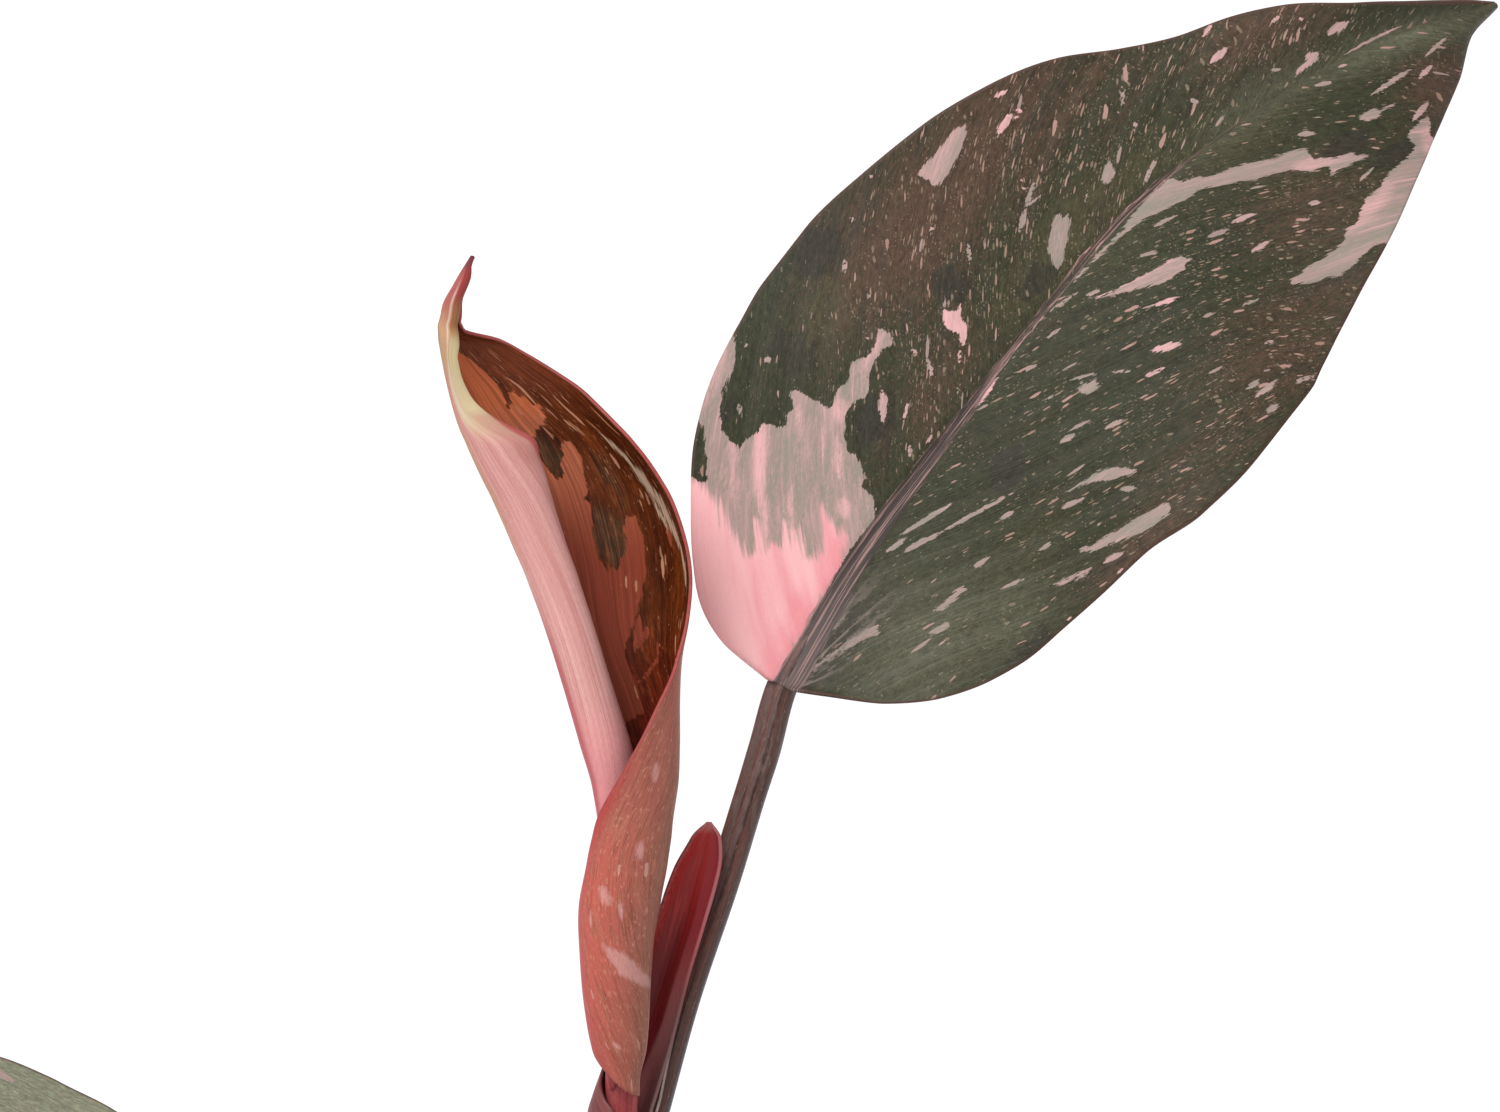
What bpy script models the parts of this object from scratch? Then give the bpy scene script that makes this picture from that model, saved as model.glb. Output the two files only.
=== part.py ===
"""A pink princess philodendron growing in a plain round clay pot.

Metres, +Z up. The origin is the centre of the pot's foot. The plant is seen from -Y: its large
variegated leaf leans to +X, and its newest leaf, still half rolled, stands over the pot's centre.
"""

import math

import bmesh
import bpy
import numpy as np
from mathutils import Vector, noise

MM = 0.001
GAP = 0.3 * MM  # clear space between solids that touch on the real plant

# The pot, and the potting mix in it
POT_HEIGHT = 112 * MM
POT_TOP_RADIUS = 60 * MM
POT_FOOT_RADIUS = 42 * MM
POT_WALL = 4.5 * MM
POT_FLOOR = 6 * MM
RIM_HEIGHT = 24 * MM
RIM_STEP = 3 * MM
EDGE = 1.2 * MM
DRAIN_RADIUS = 4.5 * MM
DRAIN_CIRCLE = 24 * MM
DRAIN_COUNT = 4
TURN_STEPS = 40
SOIL_HEIGHT = 101 * MM
SOIL_RELIEF = 2.5 * MM
SOIL_GRAIN = 11 * MM

# The stem: its centre line in mm from inside the mix to the newest node, and its nodes
STEM_LINE = (
    (1, 1, 66),
    (1, 1, 104),
    (-0.5, 2, 122),
    (-2, 1, 140),
    (-2.8, 2.5, 158),
    (-4.4, 1.2, 174),
    (-5, 1.4, 188),
)
STEM_RADIUS = 4.2 * MM
STEM_POINTS = 40
NODE_HEIGHTS = (112, 126, 140, 155, 170, 184)
NODE_SWELLING = 0.18
NODE_REACH = 2.4
ROOTS = (
    ((-2, 0, 112), (-9, -4, 111), (-13, -7, 106)),
    ((0, 2, 126), (8, -1, 124), (12, -4, 117), (13, -5, 109)),
    ((-2, 1, 141), (1, 9, 139), (2, 12, 133)),
)
ROOT_RADIUS = 1.1 * MM

# Leaf stalks: centre lines in mm from inside the stem to the blade, and their radius at the blade
STALK_SIDES = 8
LARGE_STALK = (
    (-4.8, 1.8, 177),
    (-4.7, 5.2, 184),
    (-3.8, 7.3, 194),
    (-1.8, 7.5, 206),
    (1.6, 7.3, 218.4),
    (6.0, 7.1, 234.4),
    (11.8, 7.3, 251.6),
    (15.3, 7.8, 263.0),
    (17.5, 8.4, 270.0),
)
LEFT_STALK = ((-4, 1.5, 164), (-12, -1.5, 170), (-28, -6, 183), (-50, -12, 194))
RIGHT_STALK = ((-2.6, 2, 149), (5, 6, 155), (19, 13, 167), (33, 20, 176))
FRONT_STALK = ((-1.8, 1, 134), (1, -7, 139), (8, -21, 150), (15, -34, 156.5))
SMALL_STALK = ((-0.8, 2, 120), (-7, 8, 124), (-17, 18, 132), (-26, 28, 136.5))
NEW_STALK = ((-5, -0.6, 182), (-4.9, -0.6, 190), (-4.2, -0.7, 205), (-2.9, -1.0, 217), (-3.2, -1.2, 222.6))

# Blades: midribs in mm, where the upper face looks along them, and the widest width
BLADE_THICKNESS = 0.75 * MM
LARGE_RIB = (
    (19.8, 6.0, 279.6),
    (30.2, 10.5, 297.0),
    (44.0, 16.0, 315.0),
    (57.2, 21.5, 331.4),
    (70.6, 27.0, 346.6),
    (87.8, 33.5, 359.4),
    (100.3, 39.5, 366.8),
    (110.6, 44.5, 371.4),
    (124.8, 52.0, 374.8),
)
LARGE_FACE = (
    (0.0, -0.10, -1.0, 0.25),
    (0.5, -0.05, -1.0, 0.25),
    (0.75, 0.0, -1.0, 0.2),
    (1.0, 0.1, -1.0, 0.1),
)
LEFT_RIB = (
    (-64, -16, 202), (-77, -21, 206), (-95, -28, 208),
    (-115, -36, 206), (-135, -45, 198.5), (-151, -54, 187),
)
LEFT_FACE = ((0.0, 0.15, -0.75, 0.7), (1.0, -0.35, -0.7, 0.7))
RIGHT_RIB = (
    (49, 28, 183), (62, 34, 187), (82, 44, 188.5),
    (104, 55, 184), (124, 64, 175), (139, 71, 164),
)
RIGHT_FACE = ((0.0, -0.1, -0.65, 0.8), (1.0, 0.45, -0.45, 0.75))
FRONT_RIB = (
    (23.5, -49, 163), (29, -61, 166), (37, -79, 165.5),
    (45, -98, 158), (51, -113, 147), (55, -125, 135),
)
FRONT_FACE = ((0.0, -0.1, -0.2, 1.0), (1.0, 0.15, -0.75, 0.6))
SMALL_RIB = (
    (-36, 39, 142), (-43, 47, 144.5), (-54, 58, 144),
    (-65, 69, 139), (-73, 78, 131), (-79, 84, 123),
)
SMALL_FACE = ((0.0, 0.15, -0.15, 1.0), (1.0, -0.4, 0.4, 0.8))

# Outlines: share of the midrib, then how far the left and right margins lie from it, in shares
# of the blade's width
LARGE_OUTLINE = (
    (0.0, 0.03, 0.03),
    (0.01, 0.143, 0.09),
    (0.03, 0.215, 0.204),
    (0.06, 0.268, 0.297),
    (0.10, 0.326, 0.361),
    (0.15, 0.397, 0.401),
    (0.20, 0.442, 0.421),
    (0.25, 0.465, 0.442),
    (0.30, 0.479, 0.462),
    (0.36, 0.478, 0.505),
    (0.43, 0.453, 0.521),
    (0.50, 0.417, 0.518),
    (0.55, 0.376, 0.512),
    (0.60, 0.328, 0.490),
    (0.65, 0.264, 0.454),
    (0.70, 0.218, 0.407),
    (0.75, 0.190, 0.360),
    (0.80, 0.149, 0.307),
    (0.86, 0.083, 0.237),
    (0.90, 0.051, 0.195),
    (0.94, 0.033, 0.128),
    (0.97, 0.022, 0.043),
    (1.0, 0.006, 0.006),
)
PLAIN_OUTLINE = (
    (0.0, 0.02, 0.02),
    (0.015, 0.15, 0.15),
    (0.05, 0.28, 0.28),
    (0.10, 0.365, 0.37),
    (0.18, 0.45, 0.455),
    (0.28, 0.495, 0.50),
    (0.40, 0.495, 0.49),
    (0.52, 0.45, 0.445),
    (0.64, 0.37, 0.37),
    (0.76, 0.26, 0.265),
    (0.86, 0.15, 0.15),
    (0.93, 0.07, 0.065),
    (0.97, 0.03, 0.03),
    (1.0, 0.006, 0.006),
)

# The half-rolled new leaf. Each row has a height in mm, the middle of the roll (x, y), its half
# width, its depth as a share of that, where the midrib runs and where the outer half ends, where
# the inner half ends, and that half's own half width. Directions are degrees round the roll: 180 is
# its left side, 270 its back, 360 its right side and 450 its front.
ROLL = (
    (221, -2.1, -3.6, 1.57, 1, 225, 540, 20, 1.15),
    (225, -2.6, -3.6, 2.07, 1, 225, 540, 20, 1.35),
    (228.8, -2.78, -3.6, 3.03, 1, 225, 540, 0, 1.65),
    (232.9, -2.98, -3.6, 3.53, 1, 225, 540, -20, 1.95),
    (238.6, -3.16, -3.6, 3.94, 1, 225, 538, -40, 2.25),
    (244.3, -3.1, -3.6, 4.27, 1, 225, 537, -60, 2.45),
    (250, -2.54, -3.6, 4.66, 1, 225, 536, -80, 2.65),
    (255.7, -1.54, -3.5, 4.66, 1, 222, 530, -90, 2.85),
    (260, -1.14, -3.4, 4.82, 1, 216, 512, -100, 3.05),
    (265.6, -1.16, -3.2, 5.52, 1, 206, 478, -110, 3.35),
    (272, -1.88, -3, 6.47, 0.98, 196, 441, -120, 3.75),
    (278.4, -2.8, -2.7, 7.3, 0.95, 188, 410, -130, 3.6),
    (284.1, -3.55, -2.4, 8.23, 0.91, 183, 381, -130, 3.55),
    (289.7, -4.05, -2, 9.55, 0.86, 180, 366, -125, 3.6),
    (295.4, -4.95, -1.6, 10.75, 0.81, 180, 361, -115, 3.75),
    (301, -6.61, -1.2, 11.49, 0.77, 180, 360, -100, 4),
    (306.7, -8.87, -0.8, 11.74, 0.75, 180, 359, -75, 4.45),
    (309.5, -10.36, -0.6, 11.65, 0.75, 180, 358, -50, 4.85),
    (312.4, -12, -0.4, 11.37, 0.75, 180, 357, -22, 5.2),
    (314.7, -13.4, -0.2, 10.97, 0.75, 180, 355, 2, 5.55),
    (317, -14.8, 0, 10.57, 0.76, 180, 345, 45, 4.45),
    (319.2, -15.9, 0.2, 10.17, 0.78, 178, 335, 72, 3.25),
    (321.5, -17, 0.4, 9.67, 0.8, 175, 326, 85, 2.45),
    (323.6, -17.91, 0.6, 9.26, 0.82, 172, 311, 85, 1.95),
    (326.4, -19.31, 0.8, 8.41, 0.86, 168, 292, 80, 1.65),
    (328.5, -20.9, 0.9, 7.17, 0.92, 165, 278, 40, 1.45),
    (329.9, -24.2, 0.9, 3.97, 1, 162, 264, 15, 1.35),
    (331.3, -26.52, 0.9, 1.63, 1, 160, 311, 5, 1.3),
    (333.4, -26.45, 0.9, 1.21, 1, 160, 333, 5, 1.26),
    (336.9, -24.9, 1, 1, 1, 170, 287, 30, 1),
    (340.7, -22.6, 1.2, 1, 1, 180, 200, 160, 1),
)
ROLL_ROWS = (
    (0.0, 228.8),
    (0.12, 240),
    (0.35, 270),
    (0.55, 295),
    (0.7, 312),
    (0.8, 321),
    (0.9, 328.5),
    (0.95, 333),
    (1.0, 340.7),
)
ROLL_GROWTH = 0.25  # how far the outer half winds away from the middle in one turn
ROLL_DIP = (5.5, 4.0)  # how far the rounded base hangs below the first row, in mm
ROLL_LIFT = 4.0  # how far the rows rise towards the outer margin, in mm
ROLL_THICKNESS = 0.65 * MM

# The sheath that wrapped the new leaf: height, middle (x, y) and radius in mm, then its right and
# left margins in degrees
SHEATH = (
    (184.5, -5.2, -0.9, 3.6, 398, 100),
    (195.0, -5.0, -0.9, 3.95, 395, 100),
    (206.8, -4.08, -0.7, 4.2, 385, 105),
    (219.4, -2.93, -0.5, 4.37, 365, 115),
    (221.8, -2.22, -0.3, 4.37, 358, 140),
    (225.0, -1.15, -0.15, 4.3, 352, 174),
    (228.2, -0.09, 0.0, 4.23, 350, 200),
    (238.2, 2.75, 0.5, 3.95, 350, 224),
    (246.7, 5.58, 1.0, 3.67, 350, 212),
    (253.7, 7.99, 1.8, 3.24, 345, 195),
    (257.9, 9.26, 2.5, 2.11, 340, 195),
    (260.2, 9.69, 3.0, 1.2, 285, 255),
)
SHEATH_THICKNESS = 0.65 * MM


def spline(stops, t):
    """The values at t on a smooth curve through stops, which are rows of (t, values...)."""
    rows = np.asarray(stops, float)
    knots, values = rows[:, 0], rows[:, 1:]
    chords = np.diff(values, axis=0) / np.diff(knots)[:, None]
    before, after = chords[:-1], chords[1:]
    turning = before * after <= 0
    total = np.where(turning, 1.0, before + after)
    inner = np.where(turning, 0.0, 2 * before * after / total)
    slopes = np.vstack([chords[:1], inner, chords[-1:]])
    i = int(np.clip(np.searchsorted(knots, t) - 1, 0, len(knots) - 2))
    step = knots[i + 1] - knots[i]
    u = min(max((t - knots[i]) / step, 0.0), 1.0)
    start, end = values[i], values[i + 1]
    leave, arrive = slopes[i] * step, slopes[i + 1] * step
    return (
        start
        + leave * u
        + (3 * (end - start) - 2 * leave - arrive) * u**2
        + (2 * (start - end) + leave + arrive) * u**3
    )


def path(points):
    """Points given in mm as rows of (share of the length, x, y, z) in metres."""
    points = np.asarray(points, float) * MM
    lengths = np.linalg.norm(np.diff(points, axis=0), axis=1)
    shares = np.concatenate([[0], np.cumsum(lengths)]) / lengths.sum()
    return np.column_stack([shares, points])


def material(name, color, roughness):
    """A plain Principled material."""
    result = bpy.data.materials.new(name)
    result.use_nodes = True
    shader = result.node_tree.nodes["Principled BSDF"]
    shader.inputs["Base Color"].default_value = (*color, 1)
    shader.inputs["Roughness"].default_value = roughness
    shader.inputs["Metallic"].default_value = 0
    return result


def add(name, data, paint, collection):
    """An object for the data, in the collection, with its material."""
    result = bpy.data.objects.new(name, data)
    collection.objects.link(result)
    if paint is not None:
        data.materials.clear()
        data.materials.append(paint)
    return result


def turned(name, profile, paint, collection):
    """A profile of (radius, height) points turned about Z."""
    data = bpy.data.meshes.new(name)
    points = [(radius, 0, height) for radius, height in profile]
    data.from_pydata(points, [(i, i + 1) for i in range(len(points) - 1)], [])
    result = add(name, data, paint, collection)
    screw = result.modifiers.new("Turn", "SCREW")
    screw.axis = "Z"
    screw.angle = math.tau
    screw.steps = TURN_STEPS
    screw.render_steps = TURN_STEPS
    screw.use_merge_vertices = True
    screw.merge_threshold = 0.00005
    return result


def made_mesh(obj, paint=None):
    """Replace an object by a plain mesh of what it evaluates to, under the same name."""
    graph = bpy.context.evaluated_depsgraph_get()
    name, collection = obj.name, obj.users_collection[0]
    data = bpy.data.meshes.new_from_object(obj.evaluated_get(graph))
    bm = bmesh.new()
    bm.from_mesh(data)
    bmesh.ops.remove_doubles(bm, verts=bm.verts, dist=0.00001)
    bmesh.ops.recalc_face_normals(bm, faces=bm.faces)
    bm.to_mesh(data)
    bm.free()
    result = bpy.data.objects.new(name + ".mesh", data)
    result.matrix_world = obj.matrix_world
    collection.objects.link(result)
    bpy.data.objects.remove(obj)
    result.name = name
    if paint is not None:
        data.materials.clear()
        data.materials.append(paint)
    return result


def tube(name, line, radius_at, count, paint, collection, sides=8):
    """A capped tube along a line given in mm; radius_at(share, point) gives its radius."""
    rows = path(line)
    data = bpy.data.curves.new(name, "CURVE")
    data.dimensions = "3D"
    data.bevel_depth = 1.0 * MM
    data.bevel_resolution = sides // 2 - 2
    data.use_fill_caps = True
    spline_data = data.splines.new("POLY")
    spline_data.points.add(count - 1)
    for i, point in enumerate(spline_data.points):
        share = i / (count - 1)
        place = spline(rows, share)
        point.co = (*place, 1)
        point.radius = radius_at(share, place) / MM
    return made_mesh(add(name, data, None, collection), paint)


def boolean(obj, cutter, operation):
    """Cut an object by another, or join them."""
    modifier = obj.modifiers.new(cutter.name, "BOOLEAN")
    modifier.operation = operation
    modifier.solver = "EXACT"
    modifier.object = cutter


def sheet(name, across, along, place, thickness, paint, collection):
    """An open grid whose points place(s, t) gives for s in -1..1 and t in 0..1, thickened."""
    bm = bmesh.new()
    bmesh.ops.create_grid(bm, x_segments=across, y_segments=along, size=1)
    for vert in bm.verts:
        vert.co = place(vert.co.x, (vert.co.y + 1) / 2)
    bmesh.ops.triangulate(bm, faces=bm.faces, quad_method="SHORT_EDGE")
    data = bpy.data.meshes.new(name)
    bm.to_mesh(data)
    bm.free()
    data.shade_smooth()
    result = add(name, data, paint, collection)
    solidify = result.modifiers.new("Thickness", "SOLIDIFY")
    solidify.thickness = thickness
    solidify.offset = 0
    return result


def blade(name, rib, face, outline, width, fold, wave, size, paint, collection):
    """A leaf blade: rows across its midrib, folded up a little along it, with waved margins."""
    rows = path(rib)

    def place(s, t):
        t = t - 0.08 * math.sin(math.tau * t)
        middle = Vector(spline(rows, t))
        ahead = Vector(spline(rows, min(t + 0.02, 1))) - Vector(spline(rows, max(t - 0.02, 0)))
        ahead.normalize()
        normal = Vector(spline(face, t))
        normal = (normal - ahead * normal.dot(ahead)).normalized()
        side = ahead.cross(normal)
        left, right = spline(outline, t)
        reach = (right if s > 0 else left) * width
        beyond = abs(s) * reach
        rise = fold * beyond * (1 - 0.55 * abs(s))
        depth, turns, start = wave
        rise += depth * MM * s * s * math.sin(math.tau * (turns * t + start + 0.17 * s))
        return middle + side * (beyond if s > 0 else -beyond) + normal * rise

    across, along = size
    return sheet(name, across, along, place, BLADE_THICKNESS, paint, collection)


def under(rib, face, radius_at, shares):
    """Points in mm along the underside of a blade's midrib, clear of the blade."""
    rows = path(rib)
    points = []
    for t in shares:
        middle = Vector(spline(rows, t))
        ahead = Vector(spline(rows, min(t + 0.02, 1))) - Vector(spline(rows, max(t - 0.02, 0)))
        ahead.normalize()
        normal = Vector(spline(face, t))
        normal = (normal - ahead * normal.dot(ahead)).normalized()
        away = radius_at(t) + BLADE_THICKNESS / 2 + 1.6 * GAP
        points.append(tuple((middle - normal * away) / MM))
    return points


def stalk(name, line, rib, face, radius, paint, collection):
    """A leaf stalk from inside the stem, running on as the midrib's keel under the blade."""
    def keel(t):
        return radius * (1 - 0.8 * t)

    shares = (0.0, 0.07, 0.16, 0.28, 0.4, 0.55, 0.7, 0.84)
    whole = list(line) + under(rib, face, keel, shares)
    rows = path(whole)
    joint = rows[len(line) - 1, 0]

    def radius_at(share, place):
        if share > joint:
            beyond = (share - joint) / (1 - joint)
            return keel(0.84 * beyond)
        flare = math.exp(-share / joint * 14)
        return radius * (1 + 0.12 * (1 - share / joint) + 0.35 * flare)

    return tube(name, whole, radius_at, 24, paint, collection, STALK_SIDES)


def stem_radius(share, place):
    """The stem's radius: swollen at each node, and rounded off at its top."""
    height = place[2] / MM
    swelling = sum(math.exp(-(((height - node) / NODE_REACH) ** 2)) for node in NODE_HEIGHTS)
    top = min(1.0, 0.72 + 0.28 * math.sqrt(max(0.0, (188 - height) / 3)))
    return STEM_RADIUS * (1 + NODE_SWELLING * swelling) * top


def roll_place(s, t):
    """A point of the new leaf: s runs from the inner margin to the outer one, t from the base."""
    height = float(spline(ROLL_ROWS, t)[0])
    start = max(0.0, 1 - t / 0.16) ** 2
    low, belly = ROLL_DIP
    if s >= 0:
        height += ROLL_LIFT * s * s * (1 - t) * min(1.0, t * 6)
        height -= start * (low * (1 - s) + belly * math.sin(math.pi * s**1.4))
    else:
        height -= start * (low * (1 + s) + 0.6 * belly * math.sin(-math.pi * s))
    x, y, half, share, middle, outer, inner, inner_half = spline(ROLL, height)
    centre = Vector((x, y))
    if s >= 0:
        angle = middle + s * (outer - middle)
        reach = half * (1 + ROLL_GROWTH * (angle - 180) / 360)
    else:
        start_reach = half * (1 + ROLL_GROWTH * (middle - 180) / 360)
        turn = math.radians(middle)
        centre = centre + Vector((math.cos(turn), -math.sin(turn) * share)) * (start_reach - inner_half)
        angle = middle + s * (middle - inner)
        reach = inner_half * (1 + 0.28 * s)
    turn = math.radians(angle)
    x = centre.x + reach * math.cos(turn)
    y = centre.y - reach * share * math.sin(turn)
    return Vector((x, y, height)) * MM


def sheath_place(s, t):
    """A point of the sheath: s runs from its left margin to its right one, t from its base."""
    lowest, highest = SHEATH[0][0], SHEATH[-1][0]
    height = lowest + (highest - lowest) * (1 - (1 - t) ** 1.35)
    x, y, radius, right, left = spline(SHEATH, height)
    turn = math.radians(left + (right - left) * (s + 1) / 2)
    return Vector((x + radius * math.cos(turn), y - radius * math.sin(turn), height)) * MM


def pot_profile():
    """The pot's section: out along its floor, up inside, over the rim, down outside, and in."""
    slope = (POT_TOP_RADIUS - RIM_STEP - POT_FOOT_RADIUS) / POT_HEIGHT

    def outer(height):
        return POT_FOOT_RADIUS + slope * height

    rim = POT_HEIGHT - RIM_HEIGHT
    return [
        (0, POT_FLOOR),
        (outer(POT_FLOOR) - POT_WALL - 2.5 * MM, POT_FLOOR),
        (outer(POT_FLOOR) - POT_WALL, POT_FLOOR + 2.5 * MM),
        (outer(POT_HEIGHT) - POT_WALL, POT_HEIGHT - EDGE),
        (outer(POT_HEIGHT) - POT_WALL + EDGE, POT_HEIGHT),
        (POT_TOP_RADIUS - EDGE, POT_HEIGHT),
        (POT_TOP_RADIUS, POT_HEIGHT - EDGE),
        (POT_TOP_RADIUS - 0.8 * MM, rim + EDGE),
        (POT_TOP_RADIUS - 0.8 * MM - EDGE, rim),
        (outer(rim), rim - 0.4 * MM),
        (outer(0) + 0.2 * MM, EDGE),
        (outer(0) - EDGE, 0),
        (0, 0),
    ]


def soil_profile():
    """The mix's section: out across its top, down beside the pot's wall, and in underneath."""
    slope = (POT_TOP_RADIUS - RIM_STEP - POT_FOOT_RADIUS) / POT_HEIGHT
    top = POT_FOOT_RADIUS + slope * SOIL_HEIGHT - POT_WALL - 1.6 * GAP
    bottom = POT_FOOT_RADIUS + slope * POT_FLOOR - POT_WALL - 1.6 * GAP
    rings = [(top * i / 7, SOIL_HEIGHT) for i in range(8)]
    foot = POT_FLOOR + GAP
    return rings + [(bottom, foot + 2.6 * MM), (bottom - 2.6 * MM, foot), (0, foot)]


def roughen(obj):
    """Raise and lower the mix's top, less so at the wall."""
    edge = max(vert.co.x for vert in obj.data.vertices)
    for vert in obj.data.vertices:
        if vert.co.z > SOIL_HEIGHT - 0.1 * MM:
            away = math.hypot(vert.co.x, vert.co.y)
            calm = 1 - 0.7 * (away / edge) ** 6
            bump = noise.noise(Vector((vert.co.x, vert.co.y, 0.3)) / SOIL_GRAIN)
            vert.co.z += SOIL_RELIEF * calm * bump + 1.5 * MM * (1 - (away / edge) ** 2)


def main():
    for obj in list(bpy.data.objects):
        bpy.data.objects.remove(obj, do_unlink=True)

    plant = bpy.data.collections.new("pink princess philodendron")
    cutters = bpy.data.collections.new("cutters")
    bpy.context.scene.collection.children.link(plant)
    bpy.context.scene.collection.children.link(cutters)

    clay = material("pot_clay", (0.58, 0.27, 0.16), 0.85)
    mix = material("potting_mix", (0.05, 0.033, 0.022), 0.95)
    stem_skin = material("stem_skin", (0.13, 0.07, 0.05), 0.5)
    dark_leaf = material("leaf_dark", (0.06, 0.07, 0.04), 0.4)
    purple = material("leaf_stalk", (0.16, 0.07, 0.07), 0.4)
    young = material("new_leaf_red", (0.5, 0.18, 0.15), 0.4)
    red = material("new_stalk_red", (0.3, 0.03, 0.05), 0.4)
    sheath_skin = material("sheath_red", (0.3, 0.02, 0.05), 0.4)

    # The pot, with its drainage holes
    pot = turned("pot", pot_profile(), clay, plant)
    for i in range(DRAIN_COUNT):
        turn = math.tau * (i + 0.5) / DRAIN_COUNT
        bpy.ops.mesh.primitive_cylinder_add(vertices=16, radius=DRAIN_RADIUS, depth=4 * POT_FLOOR)
        hole = bpy.context.object
        hole.name = "drain_cutter_%d" % (i + 1)
        hole.location = (DRAIN_CIRCLE * math.cos(turn), DRAIN_CIRCLE * math.sin(turn), 0)
        hole.hide_render = True
        hole.display_type = "WIRE"
        for collection in list(hole.users_collection):
            collection.objects.unlink(hole)
        cutters.objects.link(hole)
        boolean(pot, hole, "DIFFERENCE")

    # The stem, with its air roots, and the same stem a gap larger to cut its neighbours
    stem = tube("stem", STEM_LINE, stem_radius, STEM_POINTS, stem_skin, plant, 10)
    for i, line in enumerate(ROOTS):
        def root_radius(share, place):
            return ROOT_RADIUS * (1.15 - 0.55 * share**2)

        root = tube("root_cutter_%d" % (i + 1), line, root_radius, 9, None, cutters)
        root.hide_render = True
        root.display_type = "WIRE"
        boolean(stem, root, "UNION")

    def larger(share, place):
        return stem_radius(share, place) + 1.3 * GAP

    longer = STEM_LINE[:-1] + ((STEM_LINE[-1][0], STEM_LINE[-1][1], STEM_LINE[-1][2] + 0.4),)
    around = tube("stem_cutter", longer, larger, STEM_POINTS, None, cutters, 10)
    around.hide_render = True
    around.display_type = "WIRE"

    # The potting mix, with a hole for the stem
    soil = made_mesh(turned("soil", soil_profile(), None, plant), mix)
    roughen(soil)
    boolean(soil, around, "DIFFERENCE")

    # The grown leaves
    grown, plain = LARGE_OUTLINE, PLAIN_OUTLINE
    leaves = (
        ("large", LARGE_STALK, LARGE_RIB, LARGE_FACE, grown, 72, 0.10, (1.6, 2.6, 0.1), 2.35, (16, 34)),
        ("left", LEFT_STALK, LEFT_RIB, LEFT_FACE, plain, 54, 0.22, (1.5, 2.2, 0.3), 2.0, (8, 14)),
        ("right", RIGHT_STALK, RIGHT_RIB, RIGHT_FACE, plain, 52, 0.22, (1.5, 2.4, 0.7), 1.9, (8, 14)),
        ("front", FRONT_STALK, FRONT_RIB, FRONT_FACE, plain, 46, 0.25, (1.3, 2.1, 0.5), 1.75, (8, 14)),
        ("small", SMALL_STALK, SMALL_RIB, SMALL_FACE, plain, 36, 0.25, (1.0, 2.0, 0.2), 1.5, (8, 13)),
    )
    for name, line, rib, face, outline, width, fold, wave, radius, size in leaves:
        blade("blade_" + name, rib, face, outline, width * MM, fold, wave, size, dark_leaf, plant)
        petiole = stalk("stalk_" + name, line, rib, face, radius * MM, purple, plant)
        boolean(petiole, around, "DIFFERENCE")

    # The newest leaf, its stalk, and the sheath that wrapped it
    sheet("new_leaf", 22, 28, roll_place, ROLL_THICKNESS, young, plant)

    def new_radius(share, place):
        return (2.05 - 0.35 * max(0.0, share - 0.8) / 0.2) * MM

    new_stalk = tube("new_stalk", NEW_STALK, new_radius, 18, red, plant, 10)
    boolean(new_stalk, around, "DIFFERENCE")
    sheath = sheet("sheath", 10, 22, sheath_place, SHEATH_THICKNESS, sheath_skin, plant)
    boolean(sheath, around, "DIFFERENCE")


main()
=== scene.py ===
# %% [markdown]
# # A pink princess philodendron in a clay pot
#
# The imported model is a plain, solid version of the plant. This script dresses it. Each plain part
# stays where it is as the measured frame, and a finer piece with a finish of its own stands for it.
# Blender counts in metres, so plant measures are written in millimetres and multiplied by MM.

import math
import random

import bmesh
import bpy
import numpy as np
from mathutils import Matrix, Vector, noise


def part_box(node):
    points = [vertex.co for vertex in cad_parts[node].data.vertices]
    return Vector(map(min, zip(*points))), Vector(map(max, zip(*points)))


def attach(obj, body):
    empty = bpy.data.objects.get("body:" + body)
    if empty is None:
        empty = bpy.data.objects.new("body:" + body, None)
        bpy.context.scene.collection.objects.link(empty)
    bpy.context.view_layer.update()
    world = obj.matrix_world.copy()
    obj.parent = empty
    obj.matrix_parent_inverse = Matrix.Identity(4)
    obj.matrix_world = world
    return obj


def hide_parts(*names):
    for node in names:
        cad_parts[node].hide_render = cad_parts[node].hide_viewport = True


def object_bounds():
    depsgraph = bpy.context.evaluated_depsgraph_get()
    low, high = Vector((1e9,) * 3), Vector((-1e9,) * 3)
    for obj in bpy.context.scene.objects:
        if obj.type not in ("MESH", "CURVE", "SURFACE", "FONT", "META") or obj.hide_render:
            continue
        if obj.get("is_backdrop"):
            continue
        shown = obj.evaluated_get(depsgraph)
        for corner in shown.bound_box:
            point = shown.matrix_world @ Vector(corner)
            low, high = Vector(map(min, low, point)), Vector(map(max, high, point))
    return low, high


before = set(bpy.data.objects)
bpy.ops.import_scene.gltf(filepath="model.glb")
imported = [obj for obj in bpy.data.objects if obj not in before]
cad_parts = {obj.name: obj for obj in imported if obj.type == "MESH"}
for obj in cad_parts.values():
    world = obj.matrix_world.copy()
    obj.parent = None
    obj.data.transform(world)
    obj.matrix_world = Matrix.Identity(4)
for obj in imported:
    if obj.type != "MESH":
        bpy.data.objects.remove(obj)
cad_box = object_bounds()
MM = 0.001
TURN = 2 * math.pi
print("The frame holds", len(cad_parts), "parts:", ", ".join(sorted(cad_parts)))

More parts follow.
